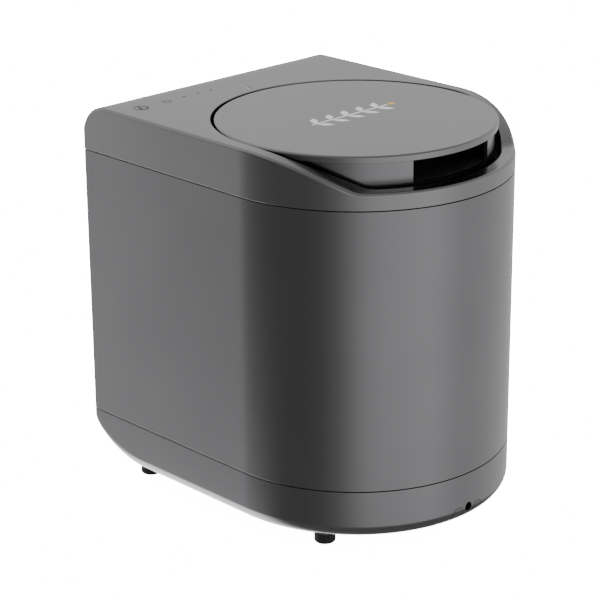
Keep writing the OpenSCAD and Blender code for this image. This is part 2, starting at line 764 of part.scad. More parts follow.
module gearbox_screws() {
    color([0.62, 0.62, 0.64]) at_spots(ear_spots) {
        translate([0, 0, case_top + cover_t]) cylinder(r = 3.2, h = 2.2);
        translate([0, 0, case_z]) cylinder(r = 1.75, h = case_top + cover_t - case_z + 0.1);
    }
}

module output_bearing() {
    color([0.80, 0.66, 0.36]) at_nose() {
        tube(shaft_r + run_fit, shaft_r + 4, case_top, case_top + cover_t + 1.5);
    }
}

module idler_pin() {
    color([0.75, 0.76, 0.78]) translate([0, y_pair, case_z + 0.5])
        cylinder(r = idler_r, h = case_top + 1.5 - case_z - 0.5);
}

module motor_can() {
    color([0.62, 0.63, 0.65]) translate([0, y_motor, 0]) difference() {
        translate([0, 0, motor_bot]) cylinder(r = motor_r, h = motor_top - motor_bot);
        translate([0, 0, motor_bot + 1.5]) cylinder(r = motor_r - 1.5, h = motor_top - motor_bot - 3);
        translate([0, 0, motor_bot - 1]) cylinder(r = motor_shaft_r + run_fit, h = motor_top);
    }
}

module motor_magnets() {
    color([0.25, 0.25, 0.26]) translate([0, y_motor, 0]) difference() {
        tube(motor_r - 7, motor_r - 1.5, motor_bot + 5, motor_top - 5);
        for (a = [0, 90]) rotate([0, 0, a])
            block(-motor_r, motor_r, -2, 2, motor_bot, motor_top);
    }
}

module motor_rotor() {
    color([0.55, 0.42, 0.30]) translate([0, y_motor, 0]) {
        translate([0, 0, motor_bot + 0.5]) cylinder(r = motor_shaft_r, h = gear_high_z + gear_w - motor_bot - 0.5);
        translate([0, 0, motor_bot + 6]) cylinder(r = motor_r - 8, h = motor_top - motor_bot - 12);
    }
}

module motor_pinion() {
    color([0.75, 0.76, 0.78]) translate([0, y_motor, 0]) difference() {
        gear(pinion_n, -90 - 180 / pinion_n, gear_high_z, gear_w);
        translate([0, 0, gear_high_z - 1]) cylinder(r = motor_shaft_r, h = gear_w + 2);
    }
}

module pair_gear() {
    color([0.85, 0.84, 0.80]) translate([0, y_pair, 0]) difference() {
        union() {
            gear(pair_big_n, 90, gear_high_z, gear_w);
            gear(pair_small_n, -90 - 180 / pair_small_n, gear_low_z, gear_w + 1);
            translate([0, 0, gear_low_z + gear_w]) cylinder(r = pair_small_pr - gear_m * 1.2, h = 2);
        }
        translate([0, 0, gear_low_z - 1]) cylinder(r = idler_r + run_fit, h = 3 * gear_w);
    }
}

module output_gear() {
    color([0.85, 0.84, 0.80]) at_nose() difference() {
        gear(output_n, 0, gear_low_z, gear_w);
        translate([0, 0, gear_low_z - 1]) cylinder(r = shaft_r, h = gear_w + 2);
    }
}

module output_shaft() {
    color([0.72, 0.73, 0.75]) at_nose() {
        translate([0, 0, case_z + 1.2]) cylinder(r = shaft_r - 2, h = 4);
        translate([0, 0, gear_low_z - 1]) cylinder(r = shaft_r, h = shaft_top - dog_h - gear_low_z + 1);
        block(-dog_l / 2, dog_l / 2, -dog_w / 2, dog_w / 2, shaft_top - dog_h - 0.5, shaft_top);
    }
}

module heat_pot() {
    color([0.66, 0.66, 0.67]) at_nose() difference() {
        union() {
            translate([0, 0, pot_z]) cylinder(r = pot_out, h = collar_floor - 0.2 - pot_z);
            translate([0, 0, collar_floor - 3]) cylinder(r = wrap_out, h = 2.8);
        }
        translate([0, 0, pot_z + pot_floor]) cylinder(r = pot_in, h = body_h);
        translate([0, 0, pot_z - 1]) cylinder(r = hub_r + 3, h = 10);
        for (a = [45:90:315]) rotate([0, 0, a]) translate([leg_r, 0, pot_z - 1]) cylinder(r = 1.6, h = 3.5);
    }
}

module heater_plate() {
    color([0.50, 0.48, 0.45]) at_nose() {
        difference() {
            translate([0, 0, pot_z - plate_t]) cylinder(r = leg_r - 8, h = plate_t);
            translate([0, 0, pot_z - 10]) cylinder(r = leg_r - 40, h = 20);
        }
        for (s = [-1, 1]) translate([s * 8, -(leg_r - 12), pot_z - plate_t - 5]) cylinder(r = 2, h = 6);
    }
}

module thermostat() {
    color([0.85, 0.82, 0.75]) at_nose() rotate([0, 0, 160]) translate([leg_r - 18, 0, pot_z - plate_t - 6])
        cylinder(r = 8, h = 6);
}

module heat_wrap() {
    color([0.86, 0.84, 0.78]) at_nose() tube(pot_out, wrap_out - 0.5, pot_z + 4, collar_floor - 3);
}

module pot_legs() {
    color([0.70, 0.71, 0.73]) at_nose() for (a = [45:90:315]) rotate([0, 0, a]) translate([leg_r, 0, 0]) {
        translate([0, 0, case_z]) cylinder(r = 4.5, h = pot_z - case_z);
        translate([0, 0, pot_z - 0.5]) cylinder(r = 1.6, h = 3);
    }
}

module shaft_seal() {
    color([0.10, 0.10, 0.10]) at_nose() {
        tube(hub_r + 0.4, hub_r + 3, pot_z - 1, pot_z + pot_floor);
        tube(hub_r + 0.4, hub_r + 7, pot_z - 2, pot_z);
    }
}

// ---------- bucket ----------

module bucket() {
    color([0.30, 0.30, 0.31]) at_nose() difference() {
        union() {
            difference() {
                translate([0, 0, bucket_z]) cylinder(r = bucket_r, h = flange_z + flange_t - bucket_z);
                difference() {
                    translate([0, 0, bucket_z + bucket_floor]) cylinder(r = bucket_in, h = body_h);
                    translate([0, 0, bucket_z]) cylinder(r1 = bush_r + 9, r2 = bush_r + 2.5, h = cone_h);
                    for (a = [30, 150, 270]) rotate([0, 0, a])
                        translate([bucket_in * 0.62, -3, cutter_z0])
                            cube([bucket_in, 6, cutter_z1 - cutter_z0]);
                    for (s = [-1, 1]) translate([s * bucket_in, 0, bail_z]) rotate([0, -s * 90, 0])
                        cylinder(r = wire_r + 3.2, h = 6);
                    translate([-5, bucket_in - 8, bail_z - wire_r - 3]) cube([10, 10, 2.6]);
                }
            }
            tube(bucket_in, flange_r, flange_z, flange_z + flange_t);
        }
        translate([0, 0, bucket_z - 1]) cylinder(r = bush_r, h = cone_h + 3);
        for (s = [-1, 1]) translate([s * (bail_r - 1), 0, bail_z]) rotate([0, s * 90, 0])
            cylinder(r = wire_r + run_fit, h = bucket_in - bail_r + 0.6);
    }
}

module bucket_bush() {
    color([0.80, 0.66, 0.36]) at_nose() tube(hub_r + run_fit, bush_r, bucket_z - 0.2, bucket_z + cone_h + 0.8);
}

module bucket_bail() {
    color([0.72, 0.73, 0.75]) at_nose() translate([0, 0, bail_z]) {
        rotate_extrude(angle = 180) translate([bail_r, 0]) circle(r = wire_r);
        for (s = [-1, 1]) translate([s * (bail_r - eps), 0, 0]) rotate([0, s * 90, 0])
            cylinder(r = wire_r, h = bucket_in - bail_r - 0.6);
        for (s = [-1, 1]) translate([s * bail_r, 0, 0]) sphere(r = wire_r);
    }
}

module stirrer_hub() {
    color([0.60, 0.61, 0.63]) at_nose() difference() {
        union() {
            translate([0, 0, bucket_z - 9.5]) cylinder(r = hub_r, h = cone_h + 12.5);
            translate([0, 0, bucket_z + cone_h + 1.6]) cylinder(r = bush_r + 1, h = stir_top - bucket_z - cone_h - 1.6);
            translate([0, 0, stir_top]) cylinder(r1 = bush_r + 1, r2 = 6, h = 8);
        }
        block(-dog_l / 2 - 0.25, dog_l / 2 + 0.25, -dog_w / 2 - 0.25, dog_w / 2 + 0.25,
            bucket_z - 13, shaft_top + 0.5);
    }
}

module stirrer_arms() {
    reach = bucket_in - 3;
    color([0.66, 0.67, 0.69]) at_nose() difference() {
        union() {
        for (a = [0, 180]) rotate([0, 0, a]) {
            block(bush_r - 1, bush_r + 22, -arm_w / 2, arm_w / 2, stir_low, stir_low + arm_w);
            block(bush_r + 14, bush_r + 22, -arm_w / 2, arm_w / 2, stir_z0, stir_low + 1);
            block(bush_r + 14, reach * 0.98, -arm_w / 2, arm_w / 2, stir_z0, stir_z0 + 6);
            block(reach - 12, reach * 0.98, -arm_w / 2, arm_w / 2, stir_z0, stir_low + arm_w * 0.4);
        }
        for (a = [75, 255]) rotate([0, 0, a]) intersection() {
            block(bush_r - 1, bucket_in * 0.9, -3, 3, stir_top - pad_h - 1, stir_top - 1);
            translate([0, 0, stir_z0]) cylinder(r = bucket_in * 0.9, h = body_h);
        }
        }
        translate([0, 0, bucket_z]) cylinder(r = bush_r + 1, h = body_h, $fn = 180);
    }
}

// ---------- lid ----------

module lid_disc() {
    color([0.60, 0.60, 0.61]) at_nose() {
        rotate_extrude($fn = 180) polygon([[0, body_h], [disc_r, body_h], [disc_r, body_h - 2.4],
            [skirt_r + 0.2, body_h - disc_rim], [skirt_r - skirt_wall, body_h - disc_rim],
            [skirt_r - skirt_wall, body_h - disc_t], [0, body_h - disc_t]]);
        tube(5, 11, body_h - 14, body_h - disc_t + eps);
    }
}

module lid_skirt() {
    color([0.52, 0.52, 0.53]) at_nose() difference() {
        union() {
            tube(skirt_r - skirt_wall, skirt_r, skirt_z0, skirt_z1);
            intersection() {
                tube(skirt_r - 0.5, lug_r, lug_z0, lug_z0 + lug_t);
                union() for (k = [0:lug_count - 1])
                    wedge(30 + k * 360 / lug_count, lug_half, lug_r + 8, lug_z0 - 1, lug_z0 + lug_t + 1);
            }
            rotate([0, 0, 120]) intersection() {
                block(skirt_r - 14, skirt_r - 1, -5.5, 5.5, body_h - 22, body_h - 14);
                translate([0, 0, body_h - 30]) cylinder(r = skirt_r - 0.5, h = 30);
            }
        }
        wedge(-90, grip_half, skirt_r + 6, grip_z0, skirt_z1 + 1);
        wedge(90, port_half + 6, skirt_r + 6, body_h - 21, body_h - 9);
        rotate([0, 0, 120]) translate([skirt_r - 8, 0, body_h - 20]) cylinder(r = 3.5, h = 10);
    }
}

module finger_cup() {
    half = (skirt_r - skirt_wall) * sin(grip_half) + 1.2;
    color([0.05, 0.05, 0.055]) at_nose() difference() {
        intersection() {
            block(-half - 1.8, half + 1.8, -skirt_r, -skirt_r + 44, grip_z0 - 2.2, body_h - disc_t);
            translate([0, 0, grip_z0 - 5]) cylinder(r = skirt_r - skirt_wall, h = 40);
        }
        block(-half, half, -skirt_r - 10, -skirt_r + 42.2, grip_z0, body_h);
    }
}

module lid_pivot() {
    color([0.72, 0.73, 0.75]) at_nose() {
        translate([0, 0, skirt_z0 + 3]) cylinder(r = 5, h = body_h - disc_t - skirt_z0 - 3.2);
        translate([0, 0, skirt_z0 + 1.6]) cylinder(r = 9, h = 2.2);
    }
}

module lid_magnet() {
    color([0.70, 0.71, 0.73]) at_nose() rotate([0, 0, 120])
        translate([skirt_r - 8, 0, body_h - 20]) cylinder(r = 3.5, h = 4.5);
}

plate_z = skirt_z0 + 4.2;

module lid_plate() {
    color([0.17, 0.17, 0.18]) at_nose() difference() {
        union() {
            translate([0, 0, plate_z]) cylinder(r = skirt_r - skirt_wall - 3, h = 2.6);
            translate([0, 0, plate_z]) cylinder(r = 11, h = 14);
            tube(52, 54, plate_z, plate_z + 6);
        }
        translate([0, 0, plate_z - 1]) cylinder(r = 5 + run_fit, h = 20);
        for (k = [0:15]) rotate([0, 0, 22.5 * k]) translate([30, 0, plate_z - 1]) cylinder(r = 2.5, h = 5);
        for (k = [0:23]) rotate([0, 0, 15 * k]) translate([42, 0, plate_z - 1]) cylinder(r = 2.5, h = 5);
    }
}

module lid_gasket() {
    color([0.55, 0.55, 0.56]) at_nose() {
        tube(bucket_r - 0.5, flange_r - 1.5, flange_z + flange_t + 0.15, plate_z);
    }
}

// ---------- air path ----------

module air_duct() {
    y0 = y_nose + well_r;
    y_low = y_nose + post_r + 3.2;
    color([0.15, 0.15, 0.16]) difference() {
        union() {
            block(-duct_w / 2, duct_w / 2, y0, fan_y0, collar_top + 1, body_h - wall - 3.2);
            block(-duct_w / 2, duct_w / 2, y_low, fan_y0, fan_z - 18, collar_top + 2);
        }
        block(-duct_w / 2 + 1.8, duct_w / 2 - 1.8, y0 - 5, fan_y0 - 1.8, body_h - 22, body_h - wall - 5);
        block(-duct_w / 2 + 1.8, duct_w / 2 - 1.8, y_low + 1.8, fan_y0 - 1.8, fan_z - 16.2, body_h - 15);
        translate([0, fan_y0 - 5, fan_z]) rotate([-90, 0, 0]) cylinder(r = 15, h = 10);
        at_nose() translate([0, 0, collar_top - 5]) cylinder(r = well_r + collar_wall, h = body_h, $fn = 360);
    }
}

module fan_housing() {
    color([0.13, 0.13, 0.14]) difference() {
        union() {
            translate([0, fan_y0, fan_z]) rotate([-90, 0, 0]) cylinder(r = fan_r, h = fan_t);
            block(6, fan_r, fan_y0, fan_y1, bay_top, fan_z);
        }
        translate([0, fan_y0 + 1.8, fan_z]) rotate([-90, 0, 0]) cylinder(r = fan_r - 1.8, h = fan_t - 3.6);
        block(7.8, fan_r - 1.8, fan_y0 + 1.8, fan_y1 - 1.8, bay_top - 1, fan_z);
        translate([0, fan_y0 - 1, fan_z]) rotate([-90, 0, 0]) cylinder(r = 15, h = 5);
        translate([0, fan_y1 - 5, fan_z]) rotate([-90, 0, 0]) cylinder(r = 2 + run_fit, h = 10);
    }
}

module fan_impeller() {
    blade = fan_r - 8;
    color([0.22, 0.22, 0.23]) translate([0, 0, fan_z]) {
        translate([0, fan_y1 - 5.4, 0]) rotate([-90, 0, 0]) cylinder(r = blade, h = 1.6);
        translate([0, fan_y0 + 5, 0]) rotate([-90, 0, 0]) cylinder(r = 7, h = fan_y1 - fan_y0 - 10);
        translate([0, fan_y1 - 6, 0]) rotate([-90, 0, 0]) cylinder(r = 2, h = 6.6);
        for (k = [0:15]) rotate([0, 22.5 * k, 0]) rotate([0, 0, 0])
            block(blade - 9, blade, fan_y0 + 4, fan_y1 - 5, -0.7, 0.7);
    }
}

module filter_bay() {
    color([0.16, 0.16, 0.17]) difference() {
        block(-bay_w / 2, bay_w / 2, bay_y0, bay_y1, bay_bot, bay_top);
        block(-bay_w / 2 + bay_wall, bay_w / 2 - bay_wall, bay_y0 + bay_wall, bay_y1 + 5,
            bay_bot + bay_wall, bay_top - bay_wall);
        block(7.8, fan_r - 1.8, fan_y0 + 1.8, fan_y1 - 1.8, bay_top - 5, bay_top + 5);
    }
}

module filter_cassette() {
    w = filter_w / 2;
    z0 = bay_bot + bay_wall + part_gap;
    z1 = z0 + filter_h;
    y1 = y_back - door_out - wall;
    color([0.38, 0.38, 0.40]) difference() {
        union() {
            block(-door_w / 2 + door_gap, door_w / 2 - door_gap, y1, y_back - door_out,
                door_z - door_h / 2 + door_gap, door_z + door_h / 2 - door_gap);
            block(-w, w, case_y0, y1 + eps, z0, z1);
            block(-24, 24, y1 - 12, y1 + eps, z1 - 1, z1 + 9);
        }
        block(-w + 1.8, w - 1.8, case_y0 + 1.8, y1 - 6, z0 + 1.8, z1 - 1.8);
        for (k = [0:7]) block(-30, 30, y1 - 10, y_back + 1, z0 + 7 + 7 * k, z0 + 10 + 7 * k);
        block(-22, 22, y1 - 10, y_back + 1, z1 - 1, z1 + 7.2);
        for (k = [0:6]) block(-w + 10 + 9 * k, -w + 15 + 9 * k, case_y0 + 8, y1 - 14, z1 - 4, z1 + 2);
    }
}

base_shell();
bottom_plate();
mid_shell();
top_cover();
well_collar();
collar_screws();
cover_screws();
base_screws();
service_screw();
foot(foot_spots[0]);  // foot_rear_left
foot(foot_spots[1]);  // foot_rear_right
foot(foot_spots[2]);  // foot_front_left
foot(foot_spots[3]);  // foot_front_right
foot_collars();
foot_screws();
touch_board();
light_pipes();
reed_switch();
ac_inlet();
inlet_pins();
power_board();
transformer();
board_parts();
board_screws();
chassis_plate();
gearbox_case();
gearbox_cover();
gearbox_screws();
output_bearing();
idler_pin();
motor_can();
motor_magnets();
motor_rotor();
motor_pinion();
pair_gear();
output_gear();
output_shaft();
heat_pot();
heater_plate();
thermostat();
heat_wrap();
pot_legs();
shaft_seal();
bucket();
bucket_bush();
bucket_bail();
stirrer_hub();
stirrer_arms();
lid_disc();
lid_skirt();
finger_cup();
lid_pivot();
lid_magnet();
lid_plate();
lid_gasket();
air_duct();
fan_housing();
fan_impeller();
filter_bay();
filter_cassette();
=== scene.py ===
import math

import bmesh
import bpy
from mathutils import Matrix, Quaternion, Vector


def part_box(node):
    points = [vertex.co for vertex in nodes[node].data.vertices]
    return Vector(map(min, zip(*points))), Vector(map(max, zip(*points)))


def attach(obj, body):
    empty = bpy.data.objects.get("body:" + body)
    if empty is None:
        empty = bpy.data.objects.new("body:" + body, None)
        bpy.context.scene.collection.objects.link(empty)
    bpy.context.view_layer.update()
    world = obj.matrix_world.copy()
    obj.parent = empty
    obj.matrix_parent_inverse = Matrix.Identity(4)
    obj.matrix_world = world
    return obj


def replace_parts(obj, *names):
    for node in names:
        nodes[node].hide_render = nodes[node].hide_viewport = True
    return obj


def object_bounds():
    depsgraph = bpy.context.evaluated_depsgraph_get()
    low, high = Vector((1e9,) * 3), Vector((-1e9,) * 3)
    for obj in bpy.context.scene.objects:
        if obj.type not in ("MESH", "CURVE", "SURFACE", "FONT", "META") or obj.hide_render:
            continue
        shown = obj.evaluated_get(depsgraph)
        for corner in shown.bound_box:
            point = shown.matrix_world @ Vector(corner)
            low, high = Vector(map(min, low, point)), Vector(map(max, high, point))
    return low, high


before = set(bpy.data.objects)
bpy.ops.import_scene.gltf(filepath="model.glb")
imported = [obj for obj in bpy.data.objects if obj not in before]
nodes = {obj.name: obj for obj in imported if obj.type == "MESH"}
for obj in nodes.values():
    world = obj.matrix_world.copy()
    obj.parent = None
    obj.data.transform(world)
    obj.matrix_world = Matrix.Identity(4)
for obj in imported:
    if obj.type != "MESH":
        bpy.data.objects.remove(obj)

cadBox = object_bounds()

# Countertop food waste disposer: the painted skins, the lid and its marks are built here around the fixed frame,
# and everything inside keeps its frame shape and gets its finish here. All lengths are in metres.

middleLow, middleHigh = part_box("mid_shell")
coverLow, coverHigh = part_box("top_cover")
baseLow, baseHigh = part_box("base_shell")
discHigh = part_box("lid_disc")[1]
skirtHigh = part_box("lid_skirt")[1]
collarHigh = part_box("well_collar")[1]

body = {
    "half": middleHigh.x,                      # half the width, also the radius of the round front
    "noseY": middleLow.y + middleHigh.x,       # middle of the round front
    "backY": middleHigh.y,
    "floorZ": baseLow.z,
    "seamLow": baseHigh.z,
    "seamHigh": coverLow.z,
    "topZ": coverHigh.z,
    "seamGap": 0.0006,
    "wall": 0.003,
    "cornerR": 0.0012,                         # upright edges at the back
    "edgeR": 0.00035,                          # small rounds on the seam edges
    "sink": 0.00006,                           # how far the panel lies under the printed marks
}

# Effects that several finishes share


def newGroup(name, inputs, outputs):
    group = bpy.data.node_groups.new(name, "ShaderNodeTree")
    for label, kind, value in inputs:
        socket = group.interface.new_socket(name=label, in_out="INPUT", socket_type=kind)
        socket.default_value = value
    for label, kind in outputs:
        group.interface.new_socket(name=label, in_out="OUTPUT", socket_type=kind)
    start = group.nodes.new("NodeGroupInput")
    end = group.nodes.new("NodeGroupOutput")
    return group, start, end


def add(tree, kind, values=None, **settings):
    node = tree.nodes.new(kind)
    for key, value in settings.items():
        setattr(node, key, value)
    for key, value in (values or {}).items():
        node.inputs[key].default_value = value
    return node


def scaleNode(tree, start, label):
    place = add(tree, "ShaderNodeTexCoord")
    grown = add(tree, "ShaderNodeVectorMath", operation="SCALE")
    tree.links.new(place.outputs["Object"], grown.inputs[0])
    tree.links.new(start.outputs[label], grown.inputs["Scale"])
    return grown.outputs[0]


# Fine even grain of paint, moulded plastic or casting
fineGrain, start, end = newGroup("fineGrain", [("Size", "NodeSocketFloat", 900.0), ("Sharp", "NodeSocketFloat", 0.5)],
                                 [("Grain", "NodeSocketFloat")])
noise = add(fineGrain, "ShaderNodeTexNoise", {"Scale": 1.0, "Detail": 3.0})
fineGrain.links.new(scaleNode(fineGrain, start, "Size"), noise.inputs["Vector"])
fineGrain.links.new(start.outputs["Sharp"], noise.inputs["Roughness"])
fineGrain.links.new(noise.outputs["Fac"], end.inputs["Grain"])

# Slow drift from one tone to the other over a hand's width
slowDrift, start, end = newGroup("slowDrift", [("Size", "NodeSocketFloat", 14.0)],
                                  [("Drift", "NodeSocketFloat")])
noise = add(slowDrift, "ShaderNodeTexNoise", {"Scale": 1.0, "Detail": 2.0, "Roughness": 0.45})
spread = add(slowDrift, "ShaderNodeMapRange", {"From Min": 0.32, "From Max": 0.68}, clamp=True)
slowDrift.links.new(scaleNode(slowDrift, start, "Size"), noise.inputs["Vector"])
slowDrift.links.new(noise.outputs["Fac"], spread.inputs["Value"])
slowDrift.links.new(spread.outputs["Result"], end.inputs["Drift"])

# Long fine lines of brushed or turned metal
brushLines, start, end = newGroup("brushLines", [("Stretch", "NodeSocketVector", (900.0, 900.0, 20.0))],
                                  [("Lines", "NodeSocketFloat")])
place = add(brushLines, "ShaderNodeTexCoord")
pull = add(brushLines, "ShaderNodeVectorMath", operation="MULTIPLY")
noise = add(brushLines, "ShaderNodeTexNoise", {"Scale": 1.0, "Detail": 4.0, "Roughness": 0.6})
brushLines.links.new(place.outputs["Object"], pull.inputs[0])
brushLines.links.new(start.outputs["Stretch"], pull.inputs[1])
brushLines.links.new(pull.outputs[0], noise.inputs["Vector"])
brushLines.links.new(noise.outputs["Fac"], end.inputs["Lines"])

# Thin dust that lies on faces that look up
settledDust, start, end = newGroup("settledDust", [("Amount", "NodeSocketFloat", 0.1)],
                                   [("Dust", "NodeSocketFloat")])
facing = add(settledDust, "ShaderNodeNewGeometry")
split = add(settledDust, "ShaderNodeSeparateXYZ")
upward = add(settledDust, "ShaderNodeMapRange", {"From Min": 0.55, "From Max": 1.0}, clamp=True)
place = add(settledDust, "ShaderNodeTexCoord")
noise = add(settledDust, "ShaderNodeTexNoise", {"Scale": 60.0, "Detail": 5.0, "Roughness": 0.7})
patches = add(settledDust, "ShaderNodeMapRange", {"From Min": 0.4, "From Max": 0.75}, clamp=True)
both = add(settledDust, "ShaderNodeMath", operation="MULTIPLY")
scaled = add(settledDust, "ShaderNodeMath", operation="MULTIPLY")
settledDust.links.new(facing.outputs["Normal"], split.inputs[0])
settledDust.links.new(split.outputs["Z"], upward.inputs["Value"])
settledDust.links.new(place.outputs["Object"], noise.inputs["Vector"])
settledDust.links.new(noise.outputs["Fac"], patches.inputs["Value"])
settledDust.links.new(upward.outputs["Result"], both.inputs[0])
settledDust.links.new(patches.outputs["Result"], both.inputs[1])
settledDust.links.new(both.outputs[0], scaled.inputs[0])
settledDust.links.new(start.outputs["Amount"], scaled.inputs[1])
settledDust.links.new(scaled.outputs[0], end.inputs["Dust"])

# Small rubbed and scratched spots that change the gloss
handlingWear, start, end = newGroup("handlingWear", [("Size", "NodeSocketFloat", 90.0),
                                                      ("Amount", "NodeSocketFloat", 0.2)],
                                    [("Wear", "NodeSocketFloat")])
noise = add(handlingWear, "ShaderNodeTexNoise", {"Scale": 1.0, "Detail": 6.0, "Roughness": 0.72,
                                                     "Distortion": 0.6})
spots = add(handlingWear, "ShaderNodeMapRange", {"From Min": 0.56, "From Max": 0.74}, clamp=True)
scaled = add(handlingWear, "ShaderNodeMath", operation="MULTIPLY")
handlingWear.links.new(scaleNode(handlingWear, start, "Size"), noise.inputs["Vector"])
handlingWear.links.new(noise.outputs["Fac"], spots.inputs["Value"])
handlingWear.links.new(spots.outputs["Result"], scaled.inputs[0])
handlingWear.links.new(start.outputs["Amount"], scaled.inputs[1])
handlingWear.links.new(scaled.outputs[0], end.inputs["Wear"])


def placeGroup(tree, group, values):
    node = tree.nodes.new("ShaderNodeGroup")
    node.node_tree = group
    for key, value in values.items():
        node.inputs[key].default_value = value
    return node


def finish(name, look):
    material = bpy.data.materials.new(name)
    material.use_nodes = True
    tree = material.node_tree
    tree.nodes.clear()
    output = add(tree, "ShaderNodeOutputMaterial")
    shader = add(tree, "ShaderNodeBsdfPrincipled", look.get("shader", {}))
    tree.links.new(shader.outputs["BSDF"], output.inputs["Surface"])

    # colour: two close tones, worn spots and dust over them
    drift = placeGroup(tree, slowDrift, {"Size": look.get("driftSize", 14.0)})
    wear = placeGroup(tree, handlingWear, {"Size": look.get("wearSize", 90.0),
                                           "Amount": look.get("wear", 0.15)})
    dust = placeGroup(tree, settledDust, {"Amount": look.get("dust", 0.05)})
    tones = add(tree, "ShaderNodeMix", data_type="RGBA")
    tones.inputs["A"].default_value = (*look["tone"], 1.0)
    tones.inputs["B"].default_value = (*look["otherTone"], 1.0)
    worn = add(tree, "ShaderNodeMix", data_type="RGBA")
    worn.inputs["B"].default_value = (*look.get("wornTone", look["otherTone"]), 1.0)
    dusty = add(tree, "ShaderNodeMix", data_type="RGBA")
    dusty.inputs["B"].default_value = (0.42, 0.40, 0.37, 1.0)
    tree.links.new(drift.outputs["Drift"], tones.inputs["Factor"])
    tree.links.new(tones.outputs["Result"], worn.inputs["A"])
    tree.links.new(wear.outputs["Wear"], worn.inputs["Factor"])
    tree.links.new(worn.outputs["Result"], dusty.inputs["A"])
    tree.links.new(dust.outputs["Dust"], dusty.inputs["Factor"])
    tree.links.new(dusty.outputs["Result"], shader.inputs["Base Color"])

    # gloss: grain or brush lines between two roughness values, with the worn spots rougher
    if "stretch" in look:
        relief = placeGroup(tree, brushLines, {"Stretch": look["stretch"]}).outputs["Lines"]
    else:
        relief = placeGroup(tree, fineGrain, {"Size": look.get("grainSize", 900.0), "Sharp": 0.55}).outputs["Grain"]
    low, high = look["rough"]
    gloss = add(tree, "ShaderNodeMapRange", {"From Min": 0.3, "From Max": 0.7, "To Min": low, "To Max": high})
    rougher = add(tree, "ShaderNodeMath", operation="MULTIPLY_ADD")
    rougher.inputs[1].default_value = 0.35
    tree.links.new(relief, gloss.inputs["Value"])
    tree.links.new(wear.outputs["Wear"], rougher.inputs[0])
    tree.links.new(gloss.outputs["Result"], rougher.inputs[2])
    tree.links.new(rougher.outputs[0], shader.inputs["Roughness"])

    bump = add(tree, "ShaderNodeBump", {"Strength": look.get("bump", 0.1),
                                          "Distance": look.get("bumpDeep", 0.0001)})
    tree.links.new(relief, bump.inputs["Height"])
    tree.links.new(bump.outputs["Normal"], shader.inputs["Normal"])
    return material


metal = {"Metallic": 1.0}
plain = {"Metallic": 0.0}

